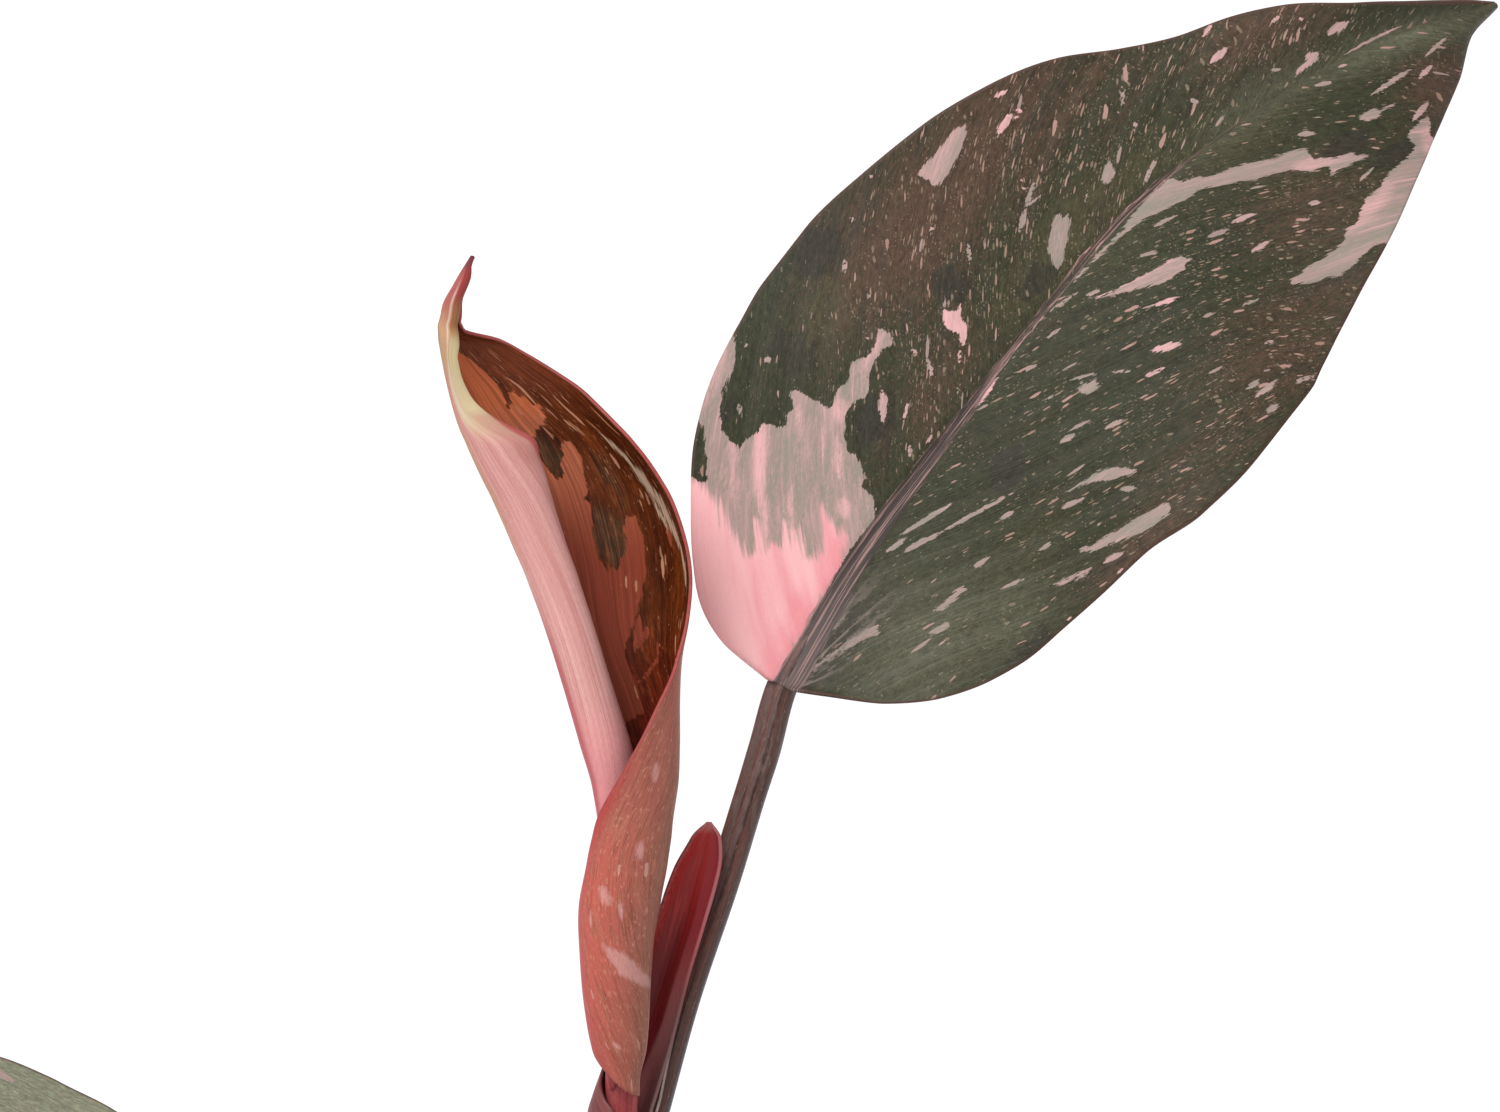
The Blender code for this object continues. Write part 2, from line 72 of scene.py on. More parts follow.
# %% [markdown]
# ## Smooth lines from a few measured stops
#
# A stalk, a midrib and a leaf's outline are all smooth lines through a few places that were
# measured on the plant. A curve object could draw them, but a small function that answers "where is
# the line at this share of its length" also serves widths, directions and angles, so it is used
# for everything. It never overshoots a stop, which keeps thin tips thin.

# %% Smooth lines
def smooth(stops, t):
    """The values at t, a number or many, on a smooth line through rows of (t, values...)."""
    rows = np.asarray(stops, float)
    knots, values = rows[:, 0], rows[:, 1:]
    chords = np.diff(values, axis=0) / np.diff(knots)[:, None]
    before, after = chords[:-1], chords[1:]
    turning = before * after <= 0
    total = np.where(turning, 1.0, before + after)
    inner = np.where(turning, 0.0, 2 * before * after / total)
    slopes = np.vstack([chords[:1], inner, chords[-1:]])
    t = np.asarray(t, float)
    i = np.clip(np.searchsorted(knots, t) - 1, 0, len(knots) - 2)
    step = (knots[i + 1] - knots[i])[..., None]
    u = np.clip((t - knots[i])[..., None] / step, 0, 1)
    start, end = values[i], values[i + 1]
    leave, arrive = slopes[i] * step, slopes[i + 1] * step
    bend = (3 * (end - start) - 2 * leave - arrive) * u**2
    return start + leave * u + bend + (2 * (start - end) + leave + arrive) * u**3


def measured(points):
    """Points in mm as rows of (share of the length, x, y, z) in metres."""
    points = np.asarray(points, float) * MM
    lengths = np.linalg.norm(np.diff(points, axis=0), axis=1)
    shares = np.concatenate([[0], np.cumsum(lengths)]) / lengths.sum()
    return np.column_stack([shares, points])


def unit(vectors):
    """Each vector at a length of one."""
    return vectors / np.linalg.norm(vectors, axis=-1, keepdims=True)


def bell(x, width):
    """One at nought, falling away smoothly on both sides."""
    return np.exp(-((np.asarray(x, float) / width) ** 2))


def ease(x, low, high):
    """Nought below low, one above high, and a smooth step between."""
    u = np.clip((np.asarray(x, float) - low) / (high - low), 0, 1)
    return u * u * (3 - 2 * u)


print("A smooth line from 0 to 1 is at", round(float(smooth(((0, 0), (1, 1)), 0.5)[0]), 2), "half way")

# %% [markdown]
# ## From a bmesh to a finished piece
#
# Every piece below begins as one of Blender's own shapes, mostly a grid, whose points are then
# moved to where the plant has them. Numbers that a finish will need, such as how far a point lies
# from the midrib, are kept on the points as layers. A finish that reads them follows the leaf
# however it bends, which a pattern fixed in space would not do.

# %% Building pieces
def lattice(across, along):
    """A grid, with the place of each point across it (-1 to 1) and along it (0 to 1)."""
    bm = bmesh.new()
    bmesh.ops.create_grid(bm, x_segments=across, y_segments=along, size=1)
    places = np.array([vert.co for vert in bm.verts])
    return bm, places[:, 0], (places[:, 1] + 1) / 2


def put(bm, points, **layers):
    """Move a bmesh's points, and keep three numbers on each for every layer named."""
    for vert, point in zip(bm.verts, points):
        vert.co = point
    for name, rows in layers.items():
        layer = bm.verts.layers.float_vector.new(name)
        for vert, row in zip(bm.verts, rows):
            vert[layer] = row


def finished(bm, name, finishes, replaced=()):
    """A bmesh as a smooth object that rides on the plant and stands for the parts replaced."""
    mesh = bpy.data.meshes.new(name)
    bm.to_mesh(mesh)
    bm.free()
    for finish in finishes:
        mesh.materials.append(finish.material)
    mesh.shade_smooth()
    piece = bpy.data.objects.new(name, mesh)
    bpy.context.scene.collection.objects.link(piece)
    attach(piece, "root")
    if replaced:
        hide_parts(*replaced)
    print(name, "has", len(mesh.polygons), "faces")
    return piece


def thicken(piece, thickness, under=0, rim=0):
    """Give a sheet its thickness. under and rim say which finish those faces take."""
    solid = piece.modifiers.new("Thickness", "SOLIDIFY")
    solid.thickness = thickness
    solid.offset = 0
    solid.material_offset = under
    solid.material_offset_rim = rim
    return piece


def tube(line, radius_at, around, along, facing=(0, -1, 0.2), flat=None):
    """A closed tube along a line in mm. radius_at(share, turn) gives its radius in mm, where a turn
    of 0 looks along facing. The layer "run" holds places on the straightened tube, in mm."""
    rows = measured(line)
    length = np.linalg.norm(np.diff(rows[:, 1:], axis=0), axis=1).sum() / MM
    bm, s, t = lattice(around, along)
    middle = smooth(rows, t)
    ahead = unit(smooth(rows, np.minimum(t + 0.01, 1)) - smooth(rows, np.maximum(t - 0.01, 0)))
    front = np.asarray(facing, float) + 0 * middle
    front = unit(front - ahead * (front * ahead).sum(-1, keepdims=True))
    side = np.cross(ahead, front)
    turn = s * math.pi
    reach = radius_at(t, turn)
    closed = np.where((t < 1e-6) | (t > 1 - 1e-6), 0.0, 1.0)
    out = front * np.cos(turn)[:, None] + side * np.sin(turn)[:, None]
    run = np.column_stack([reach * np.cos(turn), reach * np.sin(turn), t * length])
    put(bm, middle + out * (reach * closed * MM)[:, None], run=run)
    bmesh.ops.remove_doubles(bm, verts=bm.verts, dist=0.000001)
    bmesh.ops.recalc_face_normals(bm, faces=bm.faces)
    return bm


print("Pieces are built from grids of points")

# %% [markdown]
# ## Finishes as sums of patterns
#
# A leaf is never one colour. Its finish is a ground colour, with drifts, streaks and flecks laid
# over it one after another. Wiring that by hand takes many lines, so a small helper adds nodes and
# links them. Every pattern counts in millimetres, because the layers on the pieces do.

# %% A helper for finishes
class Finish:
    """A procedural material on a Principled shader."""

    def __init__(self, name, roughness, specular=0.5):
        self.material = bpy.data.materials.new(name)
        self.material.use_nodes = True
        self.tree = self.material.node_tree
        self.shader = self.tree.nodes["Principled BSDF"]
        self.shader.inputs["Roughness"].default_value = roughness
        self.shader.inputs["Specular IOR Level"].default_value = specular

    def feed(self, socket, value):
        """Link a socket to another, or set its own value. None leaves it as it is."""
        if isinstance(value, bpy.types.NodeSocket):
            self.tree.links.new(value, socket)
        elif value is not None:
            socket.default_value = value

    def node(self, kind, *inputs, **settings):
        """Add a node with these settings, and feed its inputs in their order."""
        made = self.tree.nodes.new("ShaderNode" + kind)
        for key, value in settings.items():
            setattr(made, key, value)
        for socket, value in zip(made.inputs, inputs):
            self.feed(socket, value)
        return made

    def layer(self, name):
        """A layer of the piece as a vector, and its three numbers."""
        vector = self.node("Attribute", attribute_name=name).outputs["Vector"]
        return vector, *self.node("SeparateXYZ", vector).outputs

    def place(self):
        """The place on the object in mm."""
        return self.stretch(self.node("TexCoord").outputs["Object"], 1000, 1000, 1000)

    def stretch(self, vector, x, y, z):
        """A vector with each part multiplied."""
        return self.node("VectorMath", vector, (x, y, z), operation="MULTIPLY").outputs[0]

    def math(self, operation, *values):
        """One sum on numbers."""
        return self.node("Math", *values, operation=operation).outputs[0]

    def times(self, first, *others):
        """A product."""
        for other in others:
            first = self.math("MULTIPLY", first, other)
        return first

    def plus(self, first, *others):
        """A sum."""
        for other in others:
            first = self.math("ADD", first, other)
        return first

    def minus(self, first, second):
        """A difference."""
        return self.math("SUBTRACT", first, second)

    def scaled(self, value, factor, shift):
        """A value multiplied by a factor, and then shifted."""
        return self.math("MULTIPLY_ADD", value, factor, shift)

    def without(self, share):
        """What is left of one."""
        return self.minus(1.0, share)

    def step(self, value, low, high):
        """Nought below low, one above high, and a smooth step between."""
        return self.node("MapRange", value, low, high, 0.0, 1.0, interpolation_type="SMOOTHSTEP").outputs[0]

    def below(self, value, low, high):
        """One below low, nought above high, and a smooth step between."""
        return self.without(self.step(value, low, high))

    def clouds(self, vector, stretch, detail=2.0, harshness=0.5):
        """Soft noise about 0.5. A larger stretch along a part of the vector makes lumps narrower there."""
        if stretch:
            vector = self.stretch(vector, *stretch)
        return self.node("TexNoise", vector, None, 1.0, detail, harshness).outputs[0]

    def plus_vector(self, vector, shift):
        """A vector with the same amount added to each part."""
        return self.node("VectorMath", vector, shift, operation="ADD").outputs[0]

    def wander(self, vector, stretch, amount, detail=2.0, harshness=0.5):
        """Soft noise about nought, of the amount given."""
        return self.scaled(self.clouds(vector, stretch, detail, harshness), 2 * amount, -amount)

    def flecks(self, vector, share, size):
        """Ragged spots at that share of many scattered places, the largest of the size given."""
        made = self.node("TexVoronoi", vector, None, 1.0, voronoi_dimensions="2D")
        chance = self.node("SeparateColor", made.outputs["Color"]).outputs[0]
        spare = self.minus(chance, self.without(share))
        radius = self.times(self.math("DIVIDE", spare, share), size)
        ragged = self.wander(vector, (2.6, 2.6, 2.6), 0.22, 2, 0.6)
        return self.step(self.plus(self.minus(radius, made.outputs["Distance"]), ragged), 0.0, 0.06)

    def line(self, value, place, half, soft=0.1):
        """One where the value is near a place, falling to nought beyond half a line's width."""
        away = self.math("ABSOLUTE", self.minus(value, place))
        return self.below(away, half, half + soft)

    def blend(self, share, first, second):
        """The first colour, with a share of the second over it."""
        made = self.node("Mix", share, data_type="RGBA")
        for socket, value in ((made.inputs[6], first), (made.inputs[7], second)):
            self.feed(socket, (*value, 1) if isinstance(value, tuple) else value)
        return made.outputs[2]

    def over(self, first, second, *shares):
        """The first colour, with the second over it where all the shares are high."""
        return self.blend(self.times(*shares), first, second)

    def shaded(self, colour, amount):
        """A colour made darker or lighter by an amount that varies about one."""
        made = self.node("VectorMath", colour, None, operation="SCALE")
        self.feed(made.inputs["Scale"], amount)
        return made.outputs[0]

    def wear(self, colour, height=None, roughness=None):
        """Give the shader its colour, its relief in mm and its roughness."""
        self.feed(self.shader.inputs["Base Color"], colour)
        if height is not None:
            relief = self.node("Bump")
            relief.inputs["Distance"].default_value = MM
            self.feed(relief.inputs["Height"], height)
            self.feed(self.shader.inputs["Normal"], relief.outputs["Normal"])
        if roughness is not None:
            self.feed(self.shader.inputs["Roughness"], roughness)
        return self


print("Finishes are built up from patterns in mm")

# %% [markdown]
# ## Where the grown leaves stand
#
# The large leaf is the one that is looked at. Its midrib, the way its upper face looks and its
# outline repeat the frame's, so the fine blade lies exactly where the plain one did. The lower
# leaves are smaller sisters on shorter stalks.

# %% Midribs, outlines and stalks
LARGE_OUTLINE = (
    (0.0, 0.03, 0.03),
    (0.01, 0.143, 0.09),
    (0.03, 0.215, 0.204),
    (0.06, 0.268, 0.297),
    (0.10, 0.326, 0.361),
    (0.15, 0.397, 0.401),
    (0.20, 0.442, 0.421),
    (0.25, 0.465, 0.442),
    (0.30, 0.479, 0.462),
    (0.36, 0.478, 0.505),
    (0.43, 0.453, 0.521),
    (0.50, 0.417, 0.518),
    (0.55, 0.376, 0.512),
    (0.60, 0.328, 0.490),
    (0.65, 0.264, 0.454),
    (0.70, 0.218, 0.407),
    (0.75, 0.190, 0.360),
    (0.80, 0.149, 0.307),
    (0.86, 0.083, 0.237),
    (0.90, 0.051, 0.195),
    (0.94, 0.033, 0.128),
    (0.97, 0.022, 0.043),
    (1.0, 0.006, 0.006),
)
PLAIN_OUTLINE = (
    (0.0, 0.02, 0.02),
    (0.015, 0.15, 0.15),
    (0.05, 0.28, 0.28),
    (0.10, 0.365, 0.37),
    (0.18, 0.45, 0.455),
    (0.28, 0.495, 0.50),
    (0.40, 0.495, 0.49),
    (0.52, 0.45, 0.445),
    (0.64, 0.37, 0.37),
    (0.76, 0.26, 0.265),
    (0.86, 0.15, 0.15),
    (0.93, 0.07, 0.065),
    (0.97, 0.03, 0.03),
    (1.0, 0.006, 0.006),
)
LEAVES = {
    "large": {
        "stalk": (
            (-4.8, 1.8, 177), (-4.7, 5.2, 184), (-3.8, 7.3, 194), (-1.8, 7.5, 206), (1.6, 7.3, 218.4),
            (6.0, 7.1, 234.4), (11.8, 7.3, 251.6), (15.3, 7.8, 263.0), (17.5, 8.4, 270.0),
        ),
        "rib": (
            (19.8, 6.0, 279.6), (30.2, 10.5, 297.0), (44.0, 16.0, 315.0), (57.2, 21.5, 331.4),
            (70.6, 27.0, 346.6), (87.8, 33.5, 359.4), (100.3, 39.5, 366.8), (110.6, 44.5, 371.4),
            (124.8, 52.0, 374.8),
        ),
        "face": (
            (0.0, -0.10, -1.0, 0.25), (0.5, -0.05, -1.0, 0.25), (0.75, 0.0, -1.0, 0.2), (1.0, 0.1, -1.0, 0.1),
        ),
        "outline": LARGE_OUTLINE, "width": 72, "fold": 0.10, "wave": (1.6, 2.6, 0.1), "radius": 2.35,
        "fineness": (140, 330),
    },
    "left": {
        "stalk": ((-4, 1.5, 164), (-12, -1.5, 170), (-28, -6, 183), (-50, -12, 194)),
        "rib": (
            (-64, -16, 202), (-77, -21, 206), (-95, -28, 208),
            (-115, -36, 206), (-135, -45, 198.5), (-151, -54, 187),
        ),
        "face": ((0.0, 0.15, -0.75, 0.7), (1.0, -0.35, -0.7, 0.7)),
        "outline": PLAIN_OUTLINE, "width": 54, "fold": 0.22, "wave": (1.5, 2.2, 0.3), "radius": 2.0,
        "fineness": (90, 150),
    },
    "right": {
        "stalk": ((-2.6, 2, 149), (5, 6, 155), (19, 13, 167), (33, 20, 176)),
        "rib": (
            (49, 28, 183), (62, 34, 187), (82, 44, 188.5),
            (104, 55, 184), (124, 64, 175), (139, 71, 164),
        ),
        "face": ((0.0, -0.1, -0.65, 0.8), (1.0, 0.45, -0.45, 0.75)),
        "outline": PLAIN_OUTLINE, "width": 52, "fold": 0.22, "wave": (1.5, 2.4, 0.7), "radius": 1.9,
        "fineness": (90, 150),
    },
    "front": {
        "stalk": ((-1.8, 1, 134), (1, -7, 139), (8, -21, 150), (15, -34, 156.5)),
        "rib": (
            (23.5, -49, 163), (29, -61, 166), (37, -79, 165.5),
            (45, -98, 158), (51, -113, 147), (55, -125, 135),
        ),
        "face": ((0.0, -0.1, -0.2, 1.0), (1.0, 0.15, -0.75, 0.6)),
        "outline": PLAIN_OUTLINE, "width": 46, "fold": 0.25, "wave": (1.3, 2.1, 0.5), "radius": 1.75,
        "fineness": (90, 140),
    },
    "small": {
        "stalk": ((-0.8, 2, 120), (-7, 8, 124), (-17, 18, 132), (-26, 28, 136.5)),
        "rib": (
            (-36, 39, 142), (-43, 47, 144.5), (-54, 58, 144),
            (-65, 69, 139), (-73, 78, 131), (-79, 84, 123),
        ),
        "face": ((0.0, 0.15, -0.15, 1.0), (1.0, -0.4, 0.4, 0.8)),
        "outline": PLAIN_OUTLINE, "width": 36, "fold": 0.25, "wave": (1.0, 2.0, 0.2), "radius": 1.5,
        "fineness": (80, 120),
    },
}
for name in LEAVES:
    low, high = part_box("blade_" + name)
    print(name, "leaf reaches from", round(low.z / MM), "to", round(high.z / MM), "mm high")

# %% [markdown]
# ## The shape of a blade
#
# A philodendron's blade is folded a little along its midrib and waves at its margins. The midrib
# lies in a groove between two low ridges, and the side veins leave it at an angle and bend
# towards the tip. The grid is laid along the midrib and pulled out to the margins, and the groove
# and veins are small dips in it. A vein's number, kept on each point, is the same all along one
# vein, so streaks can follow the veins without being drawn one by one.

# %% Blade shape
BLADE_THICKNESS = 0.5 * MM
# The next lines are in mm too: the midrib's groove, the two ridges beside it, and the side veins
GROOVE_DEPTH, GROOVE_HALF = 0.25, 0.9
RIDGE_HEIGHT, RIDGE_AWAY, RIDGE_HALF = 0.06, 2.1, 0.7
VEIN_SPACING, VEIN_DEPTH, VEIN_HALF, VEIN_SWELL = 8.5, 0.05, 0.6, 0.05


def along_rib(leaf, t):
    """The midrib's place, its direction, and which way the upper face and right margin lie."""
    rows = measured(leaf["rib"])
    middle = smooth(rows, t)
    ahead = unit(smooth(rows, np.minimum(t + 0.02, 1)) - smooth(rows, np.maximum(t - 0.02, 0)))
    up = smooth(leaf["face"], t)
    up = unit(up - ahead * (up * ahead).sum(-1, keepdims=True))
    return middle, ahead, up, np.cross(ahead, up)


def rib_length(leaf):
    """The midrib's length in mm."""
    return np.linalg.norm(np.diff(np.asarray(leaf["rib"], float), axis=0), axis=1).sum()


def vein_number(along, across, length):
    """A number in mm that stays the same along a side vein, which bends towards the tip."""
    far, up = np.abs(across), (along / length) ** 2
    lean = np.where(across > 0, 1.6 * (0.9 + 1.1 * up), 1.15 * (0.75 + 1.7 * up))
    return along - lean * far - np.where(across > 0, 0.002, 0.010) * far**2


def blade_points(leaf, s, t, length):
    """The blade's points, and its layer "vein": vein number, mm across and mm along."""
    middle, _, up, side = along_rib(leaf, t)
    left, right = smooth(leaf["outline"], t).T
    reach = np.where(s > 0, right, left) * leaf["width"]
    across = s * reach
    far = np.abs(across)
    vein = vein_number(t * length, across, length)
    depth, turns, start = leaf["wave"]
    rise = leaf["fold"] * far * (1 - 0.55 * np.abs(s))
    rise += depth * s * s * np.sin(TURN * (turns * t + start + 0.17 * s))
    slim = 1 - 0.75 * t
    inside = ease(1 - np.abs(s), 0, 0.15)
    rise -= GROOVE_DEPTH * slim * bell(far, GROOVE_HALF)
    rise += RIDGE_HEIGHT * slim * bell(far - RIDGE_AWAY * slim, RIDGE_HALF)
    from_vein = np.abs((vein / VEIN_SPACING + 0.5) % 1 - 0.5) * VEIN_SPACING
    rise -= VEIN_DEPTH * bell(from_vein, VEIN_HALF) * ease(far, 1, 4) * inside
    rise += VEIN_SWELL * np.cos(TURN * vein / VEIN_SPACING + math.pi) * ease(far, 2, 8) * inside
    points = middle + side * (across * MM)[:, None] + up * (rise * MM)[:, None]
    edge = (1 - np.abs(s)) * reach
    return points, np.column_stack([vein, across, t * length]), edge


print("The large midrib is", round(rib_length(LEAVES["large"])), "mm long")

# %% [markdown]
# ## Where a leaf has lost its green
#
# The pink is not painted on. Cells of the growing tip lost their green, and each of their lines
# grew into a streak or a sector of the leaf that follows the veins. A picture could show such
# marks, but they are shapes, and shapes are sharper. Large ones are outlined by a few places on the
# leaf, small ones are spindles between two places. Each point of the blade keeps how deep inside
# or how far outside the nearest mark it lies. The finish cuts that at nought and roughens the edge.

# %% Marks on a blade
FAR_OUTSIDE = -9.0
SPINDLE_DEPTH = 0.7  # how deep the middle of a spindle counts, so that its edge stays crisp
SPINDLE_HALF = 0.42  # a little less than half, because the roughened edge adds to the width


def spindle(along, across, mark):
    """How deep inside a spindle from one place to another a point lies, in mm, as if it were wide."""
    x0, y0, x1, y1, width = mark[:5]
    dx, dy = x1 - x0, y1 - y0
    share = np.clip(((along - x0) * dx + (across - y0) * dy) / (dx * dx + dy * dy), 0, 1)
    away = np.hypot(along - x0 - share * dx, across - y0 - share * dy)
    half = SPINDLE_HALF * width
    return (half * (4 * share * (1 - share)) ** 0.8 - away) * SPINDLE_DEPTH / half


def outlined(along, across, outline):
    """How deep inside an outline a point lies, in mm."""
    inside = np.zeros(len(along), bool)
    nearest = np.full(len(along), 1e9)
    for (x0, y0), (x1, y1) in zip(outline, outline[1:] + outline[:1]):
        dx, dy = x1 - x0, y1 - y0
        share = np.clip(((along - x0) * dx + (across - y0) * dy) / (dx * dx + dy * dy), 0, 1)
        nearest = np.minimum(nearest, np.hypot(along - x0 - share * dx, across - y0 - share * dy))
        if dy:
            crosses = ((y0 > across) != (y1 > across)) & (along < dx * (across - y0) / dy + x0)
            inside ^= crosses
    return np.where(inside, nearest, -nearest)


def marked(along, across, outlines, spindles):
    """The depth inside the nearest mark, and that mark's pinkness."""
    depth = np.full(len(along), FAR_OUTSIDE)
    pinkness = np.zeros(len(along))
    found = [(outlined(along, across, outline), pink) for outline, pink in outlines]
    found += [(spindle(along, across, mark), mark[5]) for mark in spindles]
    for inside, pink in found:
        pinkness = np.where(inside > depth, pink, pinkness)
        depth = np.maximum(depth, inside)
    return depth, pinkness


# Outlines on the large leaf: mm along the midrib and mm across, where left is negative
BASE_PATCH = (
    # the pale lower left of the blade, up to its jagged top and the streak that leads off it
    (-3, -1), (-3, -20), (6, -34), (20, -38), (36.7, -36), (36.7, -33), (33.6, -30.2), (30.5, -29.5),
    (27.6, -28.1), (25.2, -25.7), (24.6, -22.5), (26.2, -22.3), (27.8, -21.6), (29, -22.2), (30, -19.4),
    (30.7, -19.1), (31.9, -19.9), (33.1, -19.5), (34.8, -21.6), (35.5, -21.1), (36, -17.5), (36.2, -15.8),
    (35.9, -15.2), (37.2, -15.6), (38.6, -16.2), (40.8, -16), (43.9, -17.2), (45.9, -15.8), (48.3, -16),
    (49.7, -17.2), (50.3, -16.3), (50.2, -14.8), (49.2, -13.9), (47.8, -14.8), (44.9, -14.4), (43.2, -13.8),
    (41.5, -12.4), (40.3, -12.5), (39.6, -13.3), (36.7, -13.2), (35.3, -12), (33.6, -10.5), (32.6, -9.6),
    (33.3, -8.6), (32.2, -6.7), (31.3, -5.2), (30, -5.2), (29.9, -2.8), (28.6, -1.6), (27.1, -0.8),
    (21.8, -1.2), (10, -0.6),
)
CENTRE_STREAK = (
    # the long cream streak out of the midrib
    (72.5, 0.6), (82.4, 1.3), (90, 0.4), (94, 0.4), (94.4, 2), (96.3, 2.5), (98.3, 3.9), (102.6, 4.9),
    (106, 6.3), (107.9, 7.3), (110.1, 7.5), (112.7, 8.5), (112.5, 10.2), (113.7, 10.9), (115.6, 12.1),
    (118.3, 12.6), (118.8, 13.5), (121.4, 14.2), (119, 14.4), (115.6, 14), (113.2, 13.8), (113.9, 12.8),
    (112.7, 12.1), (110.8, 11.6), (108.9, 10.2), (107, 9.2), (102.6, 7.8), (100, 6.5), (98.3, 5.6),
    (95.9, 4.5), (94, 4.5), (90, 3.7), (86, 2.5), (82.4, 1.9), (72.5, 1),
)
MARGIN_BAND = (
    # the band down the right margin
    (134.6, 13), (134.4, 14.2), (132.9, 15.4), (134, 18), (129.8, 20), (125.2, 23), (119.5, 26),
    (115.1, 28), (112.7, 26.2), (111.3, 25.8), (107.5, 26.5), (104.6, 26.7), (102.6, 25.8), (100, 25.1),
    (97, 23.4), (100.7, 22.9), (103.6, 23.1), (108.4, 22.9), (109.4, 21.7), (111.3, 21.9), (113.2, 20.7),
    (115.6, 19.5), (118.5, 19.3), (120.4, 18.3), (123.8, 17.6), (127.2, 17.1), (128.8, 16.2), (128.1, 14.5),
    (130, 13.8), (131.5, 13.5), (132.9, 13),
)
# Smaller blots, each with its pinkness
BLOTS = (
    (0.3, (
        (80, -25.7), (79.3, -24.7), (77.6, -23.7), (75, -23.1), (70.8, -22.8), (71.1, -24.5), (70.8, -26.4),
        (74.2, -26.1), (78.6, -26.2),
    )),
    (0.75, (
        (60, -9.8), (58.6, -9.1), (57.6, -7.2), (55.7, -5.8), (55.2, -6.4), (56.1, -7.6), (55.7, -9.1),
        (56, -10), (57.6, -11.4), (58.4, -9.8),
    )),
    (0, (
        (79.8, -5.8), (78.6, -4.8), (76.2, -3.5), (74.2, -2.3), (72.1, -2), (72.8, -3.5), (74, -5.2),
        (76.6, -6.7), (78.6, -7.5), (78.9, -6.7), (78.6, -6.2),
    )),
    (0, (
        (88.9, -7.9), (88.8, -6.2), (88, -5.2), (86.3, -4.8), (85.7, -5.2), (86.8, -6.4), (88, -7.2),
    )),
    (0.25, (
        (71.7, 4.1), (74.2, 5.8), (78.1, 7.5), (81.4, 8.7), (84.3, 9.4), (86.3, 10.2), (86.3, 11.1),
        (87.5, 11.7), (85.3, 11.4), (84.6, 11.8), (81.9, 11.4), (79.8, 10.6), (77.1, 8.7), (73.8, 6.3),
    )),
    (0.4, (
        (123.4, -2.3), (122.8, -1.5), (118, -1.2), (119, -1.9), (120.9, -2.3), (121.6, -3.3), (123, -2.8),
    )),
    (0.1, (
        (129.8, 9.4), (126.7, 9.7), (125.7, 10.2), (123.8, 9.9), (122.6, 8.7), (126, 8.6), (126.7, 9.1),
    )),
    (0, (
        (59.6, 11.2), (60, 12.6), (62.5, 13.7), (62.2, 12.6), (63.7, 11.6), (62, 12), (60.8, 10.9),
    )),
    (0, (
        (46.6, 18.8), (50.4, 20.3), (51.6, 20.5), (53.6, 22.4), (55.1, 25.1), (53.6, 24.6), (51.6, 22.9),
        (50.2, 21.2),
    )),
    (0, (
        (40.8, 25.1), (43.2, 26.5), (45.9, 27.9), (48.3, 28.7), (50.2, 29.6), (53.6, 31.1), (53.8, 31.8),
        (52.6, 32.8), (50.7, 32), (48.3, 31.3), (46.3, 30.1), (44.4, 28.7), (42, 27), (40.8, 25.8),
    )),
    (0.1, (
        (34.8, 25.3), (37.5, 26.6), (40.6, 28.4), (38.5, 28.2), (36.5, 27), (35, 26),
    )),
    (0, (
        (3, 2.2), (8, 4.6), (12.5, 6.8), (14.3, 8), (13.2, 8.9), (11.5, 7.5), (8, 5.3),
    )),
    (0.1, (
        (16.1, 14.5), (18, 15.2), (20.2, 16.3), (19.8, 17.2), (18, 16.3),
    )),
    (0, (
        (20, 13.8), (23, 14.3), (26.4, 15), (26.6, 15.8), (23.5, 15.4), (21.5, 14.8),
    )),
)
LARGE_OUTLINES = [(BASE_PATCH, 0.12), (CENTRE_STREAK, 0.0), (MARGIN_BAND, 0.05)]
LARGE_OUTLINES += [(outline, pinkness) for pinkness, outline in BLOTS]
# The part of the base patch that is bright pink, and the dark sliver at its margin
LARGE_BRIGHT = (
    (-3, -1), (-3, -20), (6, -32), (18.9, -30), (18.5, -24.5), (18, -21.6), (17.5, -19.9), (16.1, -18.2),
    (14.9, -15.8), (13.7, -12.9), (14.9, -12), (16.5, -12.9), (18, -14.4), (15.6, -11), (17.5, -9.8),
    (19.9, -10.8), (19.7, -9.1), (18.5, -7.2), (17.5, -6), (18, -4.3), (19.9, -4.8), (22.3, -6.2),
    (24, -7.9), (23.3, -4.8), (22.8, -2.8), (20.9, -1.8), (19.4, -0.7),
)
LARGE_SLIVER = (
    (25, -31), (24.2, -28.2), (22.3, -26.2), (20.5, -24.8), (19.2, -23.5), (18.6, -24.2), (18.6, -30),
)
